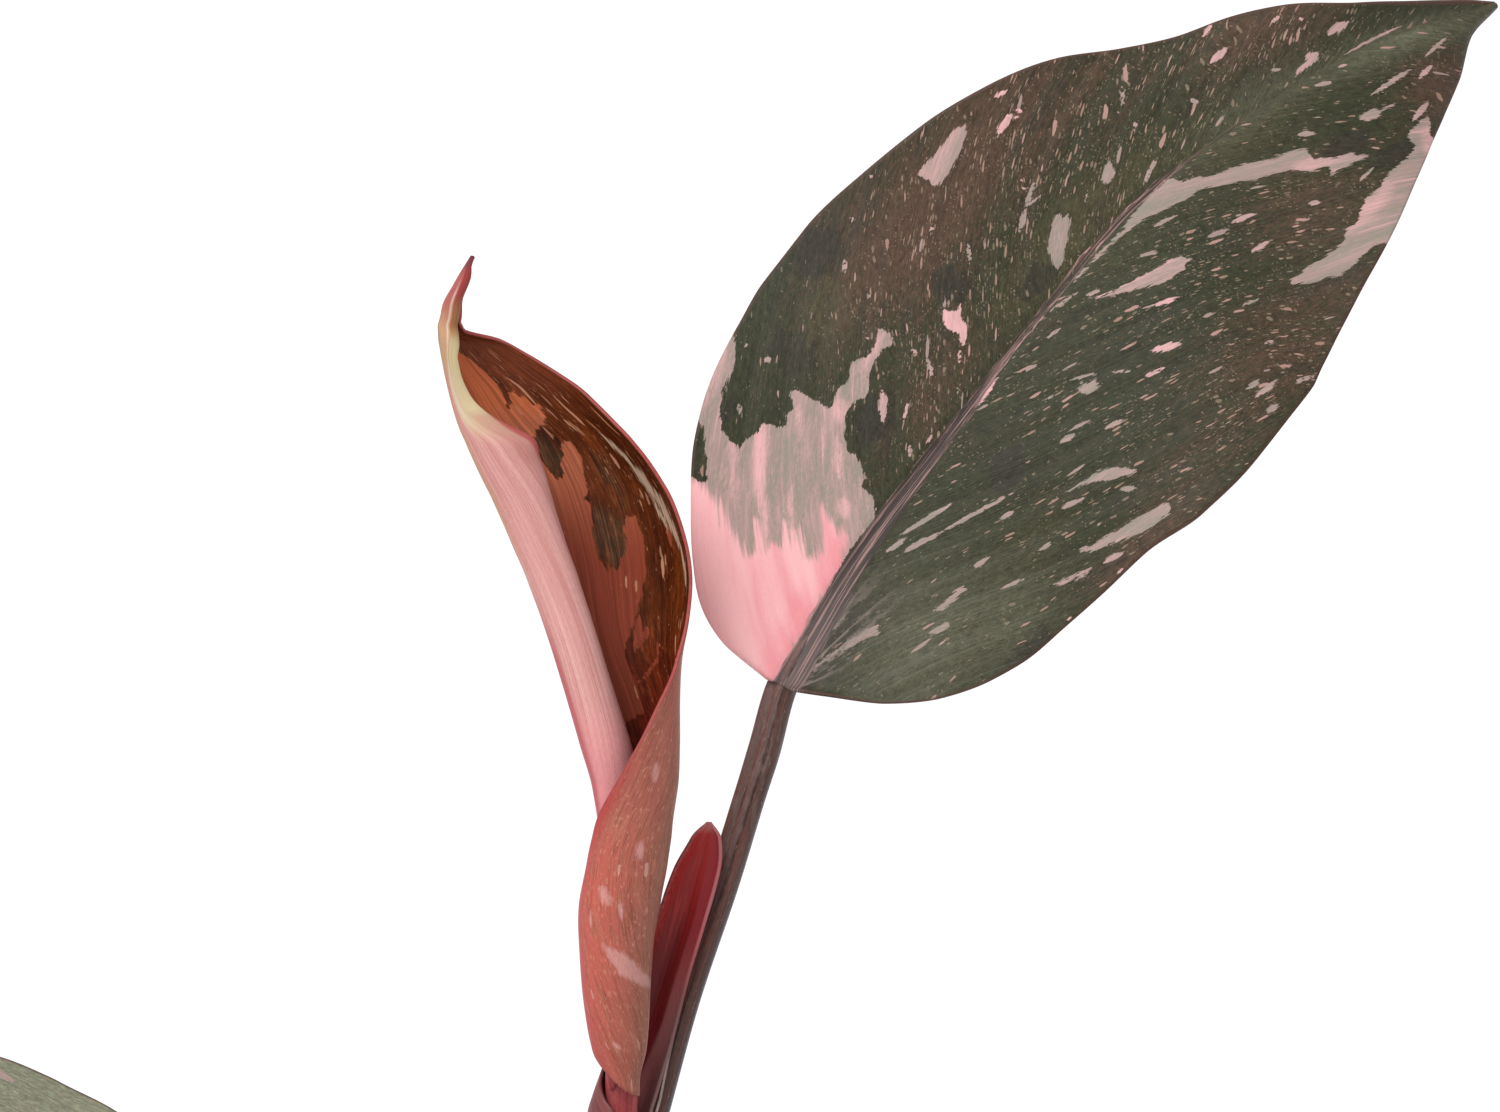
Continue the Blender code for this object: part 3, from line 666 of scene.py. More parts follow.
# Spindles on the large leaf: along, across, along, across, width, pinkness
LARGE_SPINDLES = (
    (36.9, -27.4, 36.4, -26.4, 1.3, 0.3), (36.7, -30.9, 36.1, -30.3, 0.8, 0.1),
    (29.4, -26.2, 28.2, -25.2, 0.8, 0.1), (43.2, -11.3, 39, -8, 1.6, 0.4),
    (39.1, -3.3, 37.4, -2.1, 0.8, 0.1), (42.8, -1.9, 40, -1.4, 0.6, 0.3), (44.3, -7.3, 41, -6.1, 0.7, 0.4),
    (50.9, -9.3, 48.7, -6.4, 0.9, 0.1), (50.6, -11.4, 49.8, -10.3, 0.9, 0.2),
    (51, -3.4, 48.7, -2, 0.6, 0.4), (48.5, -17.8, 47.4, -17.2, 0.6, 0.1), (55, -6.2, 52.1, -4.5, 0.6, 0.6),
    (80.2, -12.9, 76, -11, 1, 0), (76.5, -11.2, 73, -9.6, 1.2, 0), (79.2, -14.6, 78.1, -12.9, 0.6, 0.5),
    (79.5, -10.8, 77.3, -11, 0.5, 0), (84.5, -21.9, 81, -20.9, 1.3, 0.6), (86, -24.6, 84.2, -25, 1, 0.7),
    (85.6, -21.7, 84.5, -20.4, 0.8, 0.7), (96.9, -14.3, 95.3, -12, 1, 0.1),
    (94.4, -11.9, 93.5, -11.4, 0.7, 0.1), (95.5, -9.4, 93.9, -7.8, 0.8, 0.1),
    (94.5, -3.2, 90, -1.2, 0.8, 0.1), (84.4, -6.3, 81.6, -5, 0.5, 0.1), (67.6, -14.7, 65, -12.3, 0.8, 0.2),
    (66.7, -20.5, 64.8, -19.3, 0.7, 0.3), (55.4, -27.1, 53.2, -25.8, 0.9, 0.1),
    (53.9, -21.7, 52, -20.4, 0.6, 0.1), (60.6, -30, 59.7, -29.4, 1, 0.2), (67, -31.6, 66, -31.2, 0.9, 0.3),
    (129.6, -4.4, 125.7, -4.2, 1.5, 0.3), (112.6, -10.1, 108.8, -9.6, 1.2, 0.4),
    (113.1, -14.2, 110.6, -13.4, 1, 0.4), (121.5, -9.9, 119.4, -9.6, 0.6, 0.5),
    (123.9, -7.7, 123.2, -8.1, 0.8, 0.4), (117, -3.2, 115.5, -3.8, 0.7, 0.2),
    (103.2, -7, 103.9, -5.6, 1, 0.1), (106.1, -2.2, 103.5, -1.5, 0.7, 0.1),
    (137.4, -0.7, 126.6, -0.4, 0.5, 0.2), (27.8, 4.6, 24, 3.3, 1, 0), (36.4, 7, 27, 3.5, 0.9, 0),
    (31.5, 8.2, 25.1, 5, 1, 0), (42.4, 13, 30, 7.4, 0.7, 0), (40.2, 14.7, 37.6, 13.5, 0.9, 0.1),
    (33.7, 21.9, 29, 19.5, 0.7, 0), (40.4, 21.9, 37.2, 20.7, 0.7, 0), (44.6, 30.8, 41.4, 29.1, 1, 0.2),
    (47.4, 21.6, 43.8, 19.4, 1, 0), (53, 26.6, 51.1, 24.7, 1.1, 0), (46.4, 25.8, 44.8, 25.3, 0.6, 0),
    (32.8, 30.3, 31.6, 29.9, 0.6, 0.5), (42.6, 31.9, 41.2, 31.5, 0.7, 0.5),
    (17.4, 17.6, 15.4, 17.1, 0.5, 0), (55.4, 0.5, 48.6, 0.9, 1.4, 0.7), (73.9, 4.7, 71.7, 3.4, 0.6, 0),
    (80.6, 14.3, 76.5, 12, 0.9, 0.7), (76.8, 12.1, 74.6, 10.9, 0.5, 0.2),
    (74.6, 18.9, 70.5, 15.8, 1.4, 0.6), (70.2, 19, 66.9, 17.4, 0.8, 0.5), (63.5, 11.7, 60.2, 9.3, 0.6, 0),
    (67, 15.8, 64.5, 12.9, 0.6, 0), (65.9, 3.6, 62.8, 2.7, 0.6, 0), (72.4, 2.5, 66, 0.5, 0.5, 0),
    (54.4, 14.9, 51.8, 13.8, 1.1, 0), (60.4, 19.1, 57.1, 17.6, 0.9, 0.1), (57.3, 9, 55.6, 8.2, 0.6, 0),
    (100.3, 12.2, 96, 11.1, 0.9, 0.3), (99.1, 16.6, 95.3, 16.2, 0.9, 0.4),
    (100.5, 24.1, 97, 22.9, 1.1, 0.1), (91.6, 22.4, 86.4, 21.2, 0.6, 0.1), (87.1, 28.4, 84, 27.5, 0.8, 0.1),
    (88.8, 35.9, 80.9, 34.4, 0.9, 0), (77.9, 30.8, 74.4, 29.9, 1.1, 0), (80.6, 32.8, 74.4, 31.8, 1.1, 0.1),
    (76.5, 35.1, 73.2, 34.2, 1.1, 0.1), (69.8, 31.3, 67.6, 30.6, 0.6, 0.1), (90.7, 5.4, 86.2, 4.1, 0.7, 0),
    (84.9, 7.8, 81.1, 5.6, 0.7, 0), (126.5, 1.1, 124.7, 0.8, 0.6, 0.2), (122.7, 2.3, 119.9, 1.5, 0.9, 0.1),
    (115.7, 7.5, 112.9, 6.3, 1, 0), (135.7, 5.8, 126.6, 6.8, 0.9, 0.1), (143.9, 2.7, 138.6, 4.8, 0.7, 0.1),
    (139.8, 6.1, 135.9, 7.5, 1, 0.4), (136.1, 11.1, 130.7, 12.8, 1.2, 0.3),
    (120.1, 16.2, 116, 16.9, 0.6, 0.1), (109.5, 16.2, 107.4, 15.4, 0.9, 0.2),
)

# Pink washes within the pale marks: along, across, along, across, width, pinkness
LARGE_BLUSHES = (
    (30, -22.6, 19, -14.5, 1.9, 0.8), (22.5, -16.6, 17, -12, 1.4, 0.6), (26.5, -25, 18, -18, 1.8, 0.5),
    (35, -33, 24, -30, 3.0, 0.35), (27.3, -6.2, 25, -4.4, 1.8, 0.7), (38.6, -15, 35.6, -13.2, 2.2, 0.6),
    (33.5, -12.5, 29, -8, 1.6, 0.5), (121, 19.6, 110, 21.8, 3.0, 0.45),
    (134.4, 14.5, 130, 18.5, 3.4, 0.55), (118, 12.4, 109, 10, 2.2, 0.45), (85.5, 9.9, 74, 5.4, 1.8, 0.65),
    (34, -19.5, 30, -16, 1.2, 0.5), (50, -16, 42, -15.6, 1.4, 0.4), (24, -13, 19, -9.5, 1.0, 0.5),
)


def scattered_marks(leaf, length, seed, count):
    """Spindles for a leaf that nobody measured: scattered by a seeded draw, along its veins."""
    draw = random.Random(seed)
    spindles = []
    while len(spindles) < count:
        along, share = draw.uniform(0.06, 0.92), draw.uniform(-0.95, 0.95)
        left, right = smooth(leaf["outline"], along)
        across = share * (right if share > 0 else left) * leaf["width"]
        reach = draw.uniform(2, 11) * draw.uniform(0.3, 1.0)
        width = reach * draw.uniform(0.12, 0.3) + 0.5
        lean = math.atan(1 / (1.35 + 0.6 * along))
        start = along * length
        end = start + reach * math.cos(lean), across + math.copysign(reach * math.sin(lean), share)
        spindles.append((start, across, *end, width, draw.uniform(0, 0.6)))
    return spindles


print("The large leaf has", len(LARGE_OUTLINES), "outlined marks and", len(LARGE_SPINDLES), "spindles")

# %% [markdown]
# ## The finish of a grown blade
#
# Under the pink, the leaf's upper face drifts from dark green to bronze, with darker sectors that
# share the veins' direction. Thousands of single cells without green show as tiny peach flecks.
# The midrib's groove carries thin mauve lines, and a thin red-brown line runs round the margin. The
# surface is satin: fine grain breaks up its gloss.

# %% The green and bronze ground
GREEN = (0.033, 0.036, 0.018)
OLIVE = (0.072, 0.062, 0.031)
BRONZE = (0.082, 0.047, 0.031)
NEAR_BLACK = (0.031, 0.027, 0.021)
# The next two colours are painted sheen: the grey and the paler grey of light reflected off the blade
PAINTED_SHEEN_GREY = (0.082, 0.080, 0.050)
PAINTED_SHEEN_PALE = (0.225, 0.23, 0.158)
CREAM = (0.33, 0.242, 0.215)
CLOUDY = (0.245, 0.222, 0.178)
PINK = (0.80, 0.42, 0.43)
DEEP_PINK = (0.70, 0.24, 0.265)
PEACH = (0.36, 0.22, 0.165)
ROSY = (0.42, 0.245, 0.21)
SAND = (0.27, 0.20, 0.14)
MAUVE = (0.36, 0.21, 0.19)
RIB_BROWN = (0.046, 0.034, 0.031)
RIB_PINK = (0.42, 0.235, 0.215)
MARGIN_BROWN = (0.10, 0.05, 0.038)
COS_LEFT, SIN_LEFT = 0.82, 0.57  # left of the midrib flecks and veins lean from it by 35 degrees
COS_RIGHT, SIN_RIGHT = 0.92, 0.39  # on its right by about 23
OTHER_SIDE = 40.0  # mm of shift on the right, so that the flecks of the two halves do not mirror


def blade_ground(f):
    """The green and bronze ground of an upper face, with its dark patches and painted sheen."""
    vein, _, across, along = f.layer("vein")
    _, _, bronze, painted_sheen = f.layer("shade")
    _, dark, olive, flecked = f.layer("tone")
    far = f.math("ABSOLUTE", across)
    right = f.step(across, -0.05, 0.05)
    side = f.plus(f.times(right, OTHER_SIDE), f.wander(vein, (0.10, 0.10, 0), 1.8, 0.0))
    cosine = f.scaled(right, COS_RIGHT - COS_LEFT, COS_LEFT)
    sine = f.scaled(right, SIN_RIGHT - SIN_LEFT, SIN_LEFT)
    beside_vein = f.plus(f.minus(f.times(along, sine), f.times(far, cosine)), side)
    with_vein = f.plus(f.times(far, sine), f.times(along, cosine))
    place = f.node("CombineXYZ", beside_vein, with_vein).outputs[0]
    drift = f.wander(vein, (0.14, 0.08, 0), 0.7, 4, 0.6)
    speckle = f.wander(vein, (2.2, 2.2, 0), 1.7, 3, 0.8)
    drift = f.plus(drift, speckle)
    ground = f.blend(f.step(f.plus(bronze, drift), 0.05, 0.95), GREEN, BRONZE)
    ground = f.over(ground, OLIVE, f.step(f.minus(olive, drift), 0.3, 0.9), 0.7)
    patches = f.clouds(vein, (0.2, 0.12, 0), 5, 0.7)
    ground = f.over(ground, NEAR_BLACK, f.step(patches, 0.52, 0.60), 0.35)
    # Painted sheen: grey where the zones say the blade reflects light, patchy, and pale where they are strong
    painted_sheen_breaks = f.scaled(f.clouds(vein, (0.3, 0.15, 0), 4), 1.2, 0.3)
    ground = f.over(ground, PAINTED_SHEEN_GREY, painted_sheen, painted_sheen_breaks)
    ground = f.blend(f.step(painted_sheen, 1.2, 2.5), ground, PAINTED_SHEEN_PALE)
    ragged = f.wander(vein, (0.45, 0.3, 0), 0.8, 5, 0.7)
    dark_here = f.step(f.plus(dark, ragged), 0.42, 0.55)
    ground = f.over(ground, NEAR_BLACK, dark_here, 0.7)
    grit = f.clouds(vein, (3.2, 2.8, 0), 4, 0.85)
    ground = f.shaded(ground, f.scaled(grit, 2.3, -0.15))
    mottle = f.clouds(place, (1.6, 0.55, 0), 4, 0.75)
    ground = f.shaded(ground, f.scaled(mottle, 2.0, 0.0))
    lines = f.step(f.clouds(vein, (1.3, 0.02, 0), 2, 0.6), 0.50, 0.66)
    # Pale vein lines, stronger where the painted sheen lies
    ground = f.over(ground, (0.17, 0.16, 0.12), lines, f.scaled(painted_sheen, 0.22, 0.06))
    crowds = f.step(f.clouds(place, (0.16, 0.10, 0), 3, 0.6), 0.36, 0.60)
    dense = f.times(f.scaled(flecked, 1.3, 0.25), f.scaled(crowds, 1.1, 0.25))
    dense = f.math("MAXIMUM", f.times(dense, f.scaled(dark_here, -0.8, 1.0)), 0.02)
    for wide, long, share, size, strength, colour in (
        (0.4, 0.5, 0.32, 0.34, 0.45, SAND), (0.40, 1.6, 0.22, 0.38, 0.60, SAND),
        (0.52, 2.8, 0.13, 0.36, 0.80, PEACH), (0.7, 4.0, 0.08, 0.34, 0.90, ROSY),
        (1.2, 6.5, 0.05, 0.30, 0.95, CREAM),
    ):
        spots = f.flecks(f.stretch(place, 1 / wide, 1 / long, 0), f.times(dense, share), size)
        ground = f.over(ground, colour, spots, strength)
    return ground, grit, lines


print("On the left the flecks lean by", round(math.degrees(math.atan2(SIN_LEFT, COS_LEFT))), "degrees")


# %% Bare tissue and the midrib
def bare_tissue(f, vein, across, pinkness, bright, grit):
    """Where the green is lost: cream to pink, cloudy in places, and deep pink where it is bright."""
    blush = f.step(f.clouds(vein, (0.5, 0.09, 0), 3, 0.6), 0.58, 0.70)
    pinkness = f.math("MAXIMUM", pinkness, f.times(blush, 0.55))
    pinkness = f.plus(pinkness, f.wander(vein, (1.1, 0.3, 0), 0.55, 4, 0.7))
    sand = f.wander(vein, (2.6, 2.2, 0), 0.35, 2, 0.7)
    veil = f.step(f.plus(f.clouds(vein, (0.22, 0.16, 0), 3, 0.6), sand), 0.42, 0.64)
    veil = f.times(veil, f.without(pinkness), 0.8)
    bare = f.blend(veil, f.blend(pinkness, CREAM, PINK), CLOUDY)
    fingers = f.wander(vein, (0.50, 0.07, 0), 3.6, 5, 0.7)
    flush = f.clouds(vein, (0.2, 0.06, 0), 4)
    flush = f.plus(flush, f.times(f.step(across, -6.0, -1.0), 0.24))
    full_pink = f.over(PINK, DEEP_PINK, f.step(flush, 0.42, 0.84), 0.85)
    # Painted light: the pink is lifted towards the left margin, where the blade turns from the lamp
    painted_light_left = f.below(across, -30.0, -14.0)
    full_pink = f.shaded(full_pink, f.scaled(painted_light_left, 0.15, 1.0))
    bare = f.blend(f.step(f.plus(bright, fingers), -0.9, 0.7), bare, full_pink)
    return f.shaded(bare, f.scaled(grit, 0.3, 0.85))


def with_rib(f, colour, vein, across, along):
    """A colour with the midrib and the fan of lines at its foot over it, and the midrib's relief."""
    middle = f.math("MAXIMUM", f.scaled(along, -0.018, 1.0), 0.0)
    middle = f.plus(middle, f.wander(vein, (0, 0, 0.07), 0.35))
    away = f.minus(across, middle)
    half = f.math("MAXIMUM", f.scaled(along, -0.026, 2.15), 0.62)
    half = f.minus(half, f.times(f.step(along, 88.0, 100.0), 0.5))
    beside = f.minus(f.math("ABSOLUTE", away), half)
    ragged = f.wander(vein, (0, 1.4, 0.22), 0.6, 3, 0.6)
    rib = f.below(f.plus(beside, ragged), -0.15, 0.2)
    rib = f.times(rib, f.scaled(f.step(along, 45.0, 60.0), -0.25, 0.95))
    turn = f.node("CombineXYZ", f.math("ARCTAN2", across, f.plus(along, 3.0))).outputs[0]
    bent = f.wander(vein, (0, 0.35, 0.35), 0.5, 3)
    fan = f.clouds(f.plus_vector(f.stretch(turn, 9, 0, 0), bent), None, 4, 0.75)
    fan_area = f.times(f.below(along, 8.0, 24.0), f.step(across, 0.8, 1.6))
    fan_area = f.times(fan_area, f.below(f.minus(across, f.times(along, 0.30)), 2.0, 6.0))
    colour = f.over(colour, RIB_BROWN, f.below(fan, 0.42, 0.52), fan_area, 0.85)
    colour = f.over(colour, (0.25, 0.19, 0.175), f.step(fan, 0.48, 0.60), fan_area, 0.85)
    threads = f.clouds(vein, (0, 3.4, 0.06), 3, 0.65)
    upper_rib = f.times(f.step(along, 38.0, 52.0), f.below(along, 93.0, 98.0))
    soft = f.blend(f.below(along, 4.0, 26.0), RIB_BROWN, (0.10, 0.078, 0.074))
    rib_colour = f.over(soft, f.blend(upper_rib, MAUVE, RIB_PINK), f.step(threads, 0.50, 0.62), 0.8)
    # Painted sheen: grey along the midrib towards the tip
    rib_colour = f.over(rib_colour, PAINTED_SHEEN_GREY, f.step(along, 95.0, 112.0), 0.8)
    colour = f.blend(rib, colour, rib_colour)
    wobble = f.wander(vein, (0, 0.6, 0.16), 1.1, 4, 0.6)
    paired = f.line(f.math("ABSOLUTE", f.plus(away, wobble)), f.times(half, 0.7), 0.02, 0.14)
    broken = f.step(f.clouds(vein, (0, 1.2, 0.14), 3, 0.6), 0.44, 0.60)
    colour = f.over(colour, RIB_PINK, paired, broken, upper_rib)
    return colour, f.times(threads, rib, 0.12)


print("A blade's colours are its ground, its bare tissue and its midrib")


# %% Upper face and underside
def upper_finish(name):
    """The satin, marked upper face of a blade. It reads the layers vein, marks, shade and tone."""
    f = Finish(name, 0.45, 0.15)
    vein, _, across, along = f.layer("vein")
    _, depth, pinkness, edge = f.layer("marks")
    bright = f.layer("shade")[1]
    ground, grit, lines = blade_ground(f)
    ground = f.over(ground, MARGIN_BROWN, f.below(edge, 0.1, 0.5), 0.8)
    rough_edge = f.wander(vein, (1.2, 0.9, 0), 0.95, 4, 0.75)
    pale = f.step(f.plus(depth, rough_edge), -0.03, 0.09)
    bare = bare_tissue(f, vein, across, pinkness, bright, grit)
    colour, relief = with_rib(f, f.blend(pale, ground, bare), vein, across, along)
    height = f.plus(f.times(grit, 0.035), f.times(lines, -0.02), relief)
    return f.wear(colour, height, f.scaled(grit, 0.2, 0.36))


def lower_finish(name):
    """The duller underside: coppery green with raised paler veins."""
    f = Finish(name, 0.55, 0.2)
    vein = f.layer("vein")[0]
    _, depth, pinkness, edge = f.layer("marks")
    copper = f.step(f.clouds(vein, (0.08, 0.04, 0), 3), 0.35, 0.65)
    ground = f.blend(copper, (0.115, 0.115, 0.06), (0.20, 0.10, 0.065))
    mottle = f.clouds(vein, (2.2, 1.1, 0), 3, 0.7)
    ground = f.shaded(ground, f.scaled(mottle, 0.8, 0.6))
    lines = f.step(f.clouds(vein, (1.0, 0.012, 0), 2, 0.6), 0.58, 0.66)
    ground = f.over(ground, (0.27, 0.19, 0.13), lines, 0.4)
    pale = f.step(f.plus(depth, f.wander(vein, (0.9, 0.26, 0), 1.7, 4, 0.7)), -0.1, 0.3)
    bare = f.blend(pinkness, (0.42, 0.30, 0.24), (0.60, 0.30, 0.28))
    colour = f.over(ground, bare, pale, 0.8)
    colour = f.over(colour, MARGIN_BROWN, f.below(edge, 0.1, 0.55), 0.7)
    return f.wear(colour, f.plus(f.times(mottle, 0.05), f.times(lines, 0.05)))


leaf_top = upper_finish("leaf_upper_face")
leaf_under = lower_finish("leaf_underside")
print("Two finishes for grown blades")

# %% [markdown]
# ## The grown blades
#
# One function makes every blade. The large one takes the marks that were measured. The lower ones
# take scattered marks of the same kinds, from a seeded draw, so that each run gives the same plant.

# %% Soft zones on the large leaf
# Each spot: mm along, mm across, how far it reaches along and across, and its strength
LARGE_ZONES = {
    "bronze": (
        (78, -22, 26, 11, 0.75), (120, -10, 14, 6, 0.8), (140, 10, 9, 6, 1.0), (88, 30, 26, 9, 0.7),
        (46, -5, 12, 5, 0.6), (45, 33, 14, 5, 0.7), (108, 14, 12, 8, 0.5), (62, -22, 18, 8, 0.5),
    ),
    # Painted sheen: where the blade reflects the light, at its foot, along the midrib and at the tip
    "painted_sheen": (
        (15, 15, 13, 9, 1.1), (138, 1.2, 14, 2.4, 1.6), (27, 24, 8, 6, 0.8), (112, -1, 14, 3, 0.8),
    ),
    "dark": (
        (61, -12.7, 3, 3.5, 1.0), (69, -3.4, 4, 2, 1.0), (54, -31, 5, 4, 1.0), (39, -25.5, 6, 6, 0.6),
        (38.5, -9.5, 5, 3.2, 1.0), (118.5, 11.5, 5, 2.2, 1.0), (124.5, 16, 5, 1.8, 1.0), (44, 11, 3, 2, 0.7),
        (27, -27, 3, 3, 0.7), (22, 29, 9, 3, 0.9), (5, 28, 4, 4, 0.6), (45, 9, 7, 3, 0.45),
    ),
    "olive": (
        (78, -4, 22, 5, 0.9), (72, 6, 22, 5, 0.3), (40, 18, 10, 5, 0.3), (48, -24, 7, 5, 0.8),
        (104, 2, 16, 4, 0.6), (30, 22, 12, 6, 0.4),
    ),
    "flecked": (
        (85, -15, 30, 14, 1.0), (95, 14, 22, 10, 0.8), (125, -8, 18, 6, 0.9), (82, 31, 26, 7, 0.8),
        (55, 15, 20, 12, 0.5), (140, 8, 10, 7, 0.6), (50, -10, 14, 10, 0.5),
    ),
}
print("The large leaf has soft zones of", ", ".join(LARGE_ZONES))


def areas(along, across, spots):
    """Soft areas added together."""
    total = np.zeros(len(along))
    for x, y, reach_along, reach_across, strength in spots:
        total += strength * bell(np.hypot((along - x) / reach_along, (across - y) / reach_across), 1)
    return total


def blade(name, leaf, outlines, spindles, bright, zones):
    """A grown blade with its layers vein, marks, shade and tone."""
    bm, s, t = lattice(*leaf["fineness"])
    s = s * (0.82 + 0.18 * s * s)
    t = t - 0.08 * np.sin(TURN * t)
    length = rib_length(leaf)
    points, vein, edge = blade_points(leaf, s, t, length)
    across, along = vein[:, 1], vein[:, 2]
    depth, pinkness = marked(along, across, outlines, spindles)
    if name == "large":
        depth = np.minimum(depth, -outlined(along, across, LARGE_SLIVER))
        for mark in LARGE_BLUSHES:
            wash = mark[5] * ease(spindle(along, across, mark), -0.8, 0.5)
            pinkness = np.maximum(pinkness, wash)
    inside = outlined(along, across, bright) if bright else np.full(len(s), FAR_OUTSIDE)
    zone = {key: areas(along, across, spots) for key, spots in zones.items()}
    put(
        bm, points, vein=vein, marks=np.column_stack([depth, pinkness, edge]),
        shade=np.column_stack([inside, zone["bronze"], zone["painted_sheen"]]),
        tone=np.column_stack([zone["dark"], zone["olive"], zone["flecked"]]),
    )
    piece = finished(bm, "blade_%s_fine" % name, [leaf_top, leaf_under], ["blade_" + name])
    return thicken(piece, BLADE_THICKNESS, 1, 0)


# %% The large blade
blade("large", LEAVES["large"], LARGE_OUTLINES, LARGE_SPINDLES, LARGE_BRIGHT, LARGE_ZONES)

# %% The lower blades
# Seed and count of the scattered marks, one large mark with its pinkness, and the bronze spot
LOWER_MARKS = {
    "left": (11, 34, ((88, -4), (97, -9), (104, -14), (98, -16), (92, -9)), 0.1, (40, -18, 40, 16, 0.3)),
    "right": (
        12, 40, ((12, 2), (34, 10), (52, 22), (40, 27), (20, 22), (6, 10)), 0.7, (60, 12, 25, 10, 0.6),
    ),
    "front": (13, 30, ((20, -3), (44, -12), (52, -20), (36, -24), (14, -14)), 0.3, (55, 10, 20, 9, 0.5)),
    "small": (14, 26, ((8, 1), (24, 4), (34, 12), (22, 16), (8, 10)), 0.5, (40, -8, 16, 8, 0.6)),
}
for name, (seed, count, outline, pinkness, bronze) in LOWER_MARKS.items():
    leaf = LEAVES[name]
    spindles = scattered_marks(leaf, rib_length(leaf), seed, count)
    zones = {
        # painted sheen: on the left leaf it is strong enough to make the tilted face pale
        "bronze": (bronze,), "painted_sheen": ((35, 22, 50, 16, 4.0) if name == "left" else (30, 8, 25, 12, 0.4),),
        "dark": ((70, 8, 12, 6, 0.9),), "olive": ((30, -8, 20, 10, 0.8),), "flecked": ((50, 0, 50, 30, 0.6),),
    }
    blade(name, leaf, ((outline, pinkness),), spindles, outline if name == "right" else None, zones)

# %% [markdown]
# ## The stalks
#
# A leaf stalk is a firm, nearly round rod with a shallow groove along its upper side. It carries on
# under the blade as the midrib's keel. A curve with a round bevel could not show the groove, so the
# tube is a rolled-up grid whose radius dips where the groove runs.

# %% Stalk finish and shape
STALK_BROWN = (0.080, 0.034, 0.026)
STALK_MAUVE = (0.140, 0.086, 0.078)
STALK_RED = (0.165, 0.050, 0.036)


def stalk_finish(name, brown, mauve, red, banding):
    """Long thin lines of brown, mauve and red, with pale pores and, on a grown stalk, broad bands."""
    f = Finish(name, 0.40, 0.2)
    run, _, y, along = f.layer("run")
    bands = f.clouds(run, (0.42, 0.42, 0.012), 3, 0.55)
    colour = f.over(brown, mauve, f.step(bands, 0.42, 0.66), 0.6)
    sway = f.plus(y, f.wander(run, (0, 0, 0.05), 0.5))
    for place, half, tint in (
        (-2.15, 0.25, red), (-1.3, 0.50, STALK_MAUVE), (-0.62, 0.10, red), (-0.15, 0.25, STALK_MAUVE),
        (0.42, 0.08, (0.042, 0.022, 0.018)), (1.25, 0.50, (0.090, 0.046, 0.038)),
        (2.3, 0.20, (0.08, 0.070, 0.088)),
    ):
        colour = f.over(colour, tint, f.line(sway, place, half, 0.2), banding)
    threads = f.clouds(run, (3.4, 3.4, 0.06), 3, 0.7)
    colour = f.over(colour, mauve, f.step(threads, 0.5, 0.62), 0.5)
    glow = f.clouds(run, (1.6, 1.6, 0.05), 3, 0.6)
    colour = f.over(colour, red, f.step(glow, 0.54, 0.64), 0.5)
    lines = f.clouds(run, (2.4, 2.4, 0.04), 2, 0.6)
    dark = f.times(f.below(lines, 0.34, 0.44), 0.15 + 0.65 * banding)
    colour = f.blend(dark, colour, (0.034, 0.017, 0.014))
    low = f.below(along, 60.0, 90.0)
    mottle = f.step(f.clouds(run, (1.5, 1.5, 0.30), 4, 0.7), 0.48, 0.62)
    colour = f.over(colour, (0.18, 0.122, 0.112), mottle, banding, f.times(f.without(low), 0.6))
    # Painted highlight: a thin pale line down the lower stalk, where light glints off it
    highlight_place = f.math("MINIMUM", f.scaled(along, -0.06, 3.4), 0.66)
    painted_highlight = f.line(f.plus(y, f.wander(run, (0, 0, 0.05), 0.15)), highlight_place, 0.07, 0.16)
    broken = f.plus(f.step(f.clouds(run, (0.3, 0.3, 0.06), 3), 0.46, 0.60), low)
    painted_highlight = f.times(painted_highlight, broken, low, f.below(along, 60.0, 72.0))
    colour = f.over(colour, (0.62, 0.48, 0.45), painted_highlight, banding)
    pores = f.step(f.clouds(run, (1.9, 1.9, 0.7), 2), 0.68, 0.73)
    colour = f.over(colour, (0.30, 0.20, 0.17), pores, 0.5)
    colour = f.shaded(colour, f.scaled(f.clouds(run, (4, 4, 1.2), 2), 0.9, 0.55))
    height = f.plus(f.times(threads, 0.12), f.times(bands, 0.15))
    return f.wear(colour, height, f.scaled(threads, 0.2, 0.33))


stalk_skin = stalk_finish("leaf_stalk_skin", STALK_BROWN, STALK_MAUVE, STALK_RED, 0.8)
print("The stalks wear", stalk_skin.material.name)


KEEL_THINNING = 0.8
KEEL_SHARES = (0.0, 0.07, 0.16, 0.28, 0.4, 0.55, 0.7, 0.84)  # the stops along the midrib, up to its end


def keel_points(leaf, shares):
    """Points in mm along the underside of a midrib, sunk a little into the blade."""
    middle, _, up, _ = along_rib(leaf, np.array(shares))
    away = keel_radius(leaf, np.array(shares)) * MM
    return [tuple(point) for point in (middle - up * away[:, None]) / MM]


def keel_radius(leaf, t):
    """The keel's radius in mm, thinning towards the tip."""
    return leaf["radius"] * (1 - KEEL_THINNING * t)


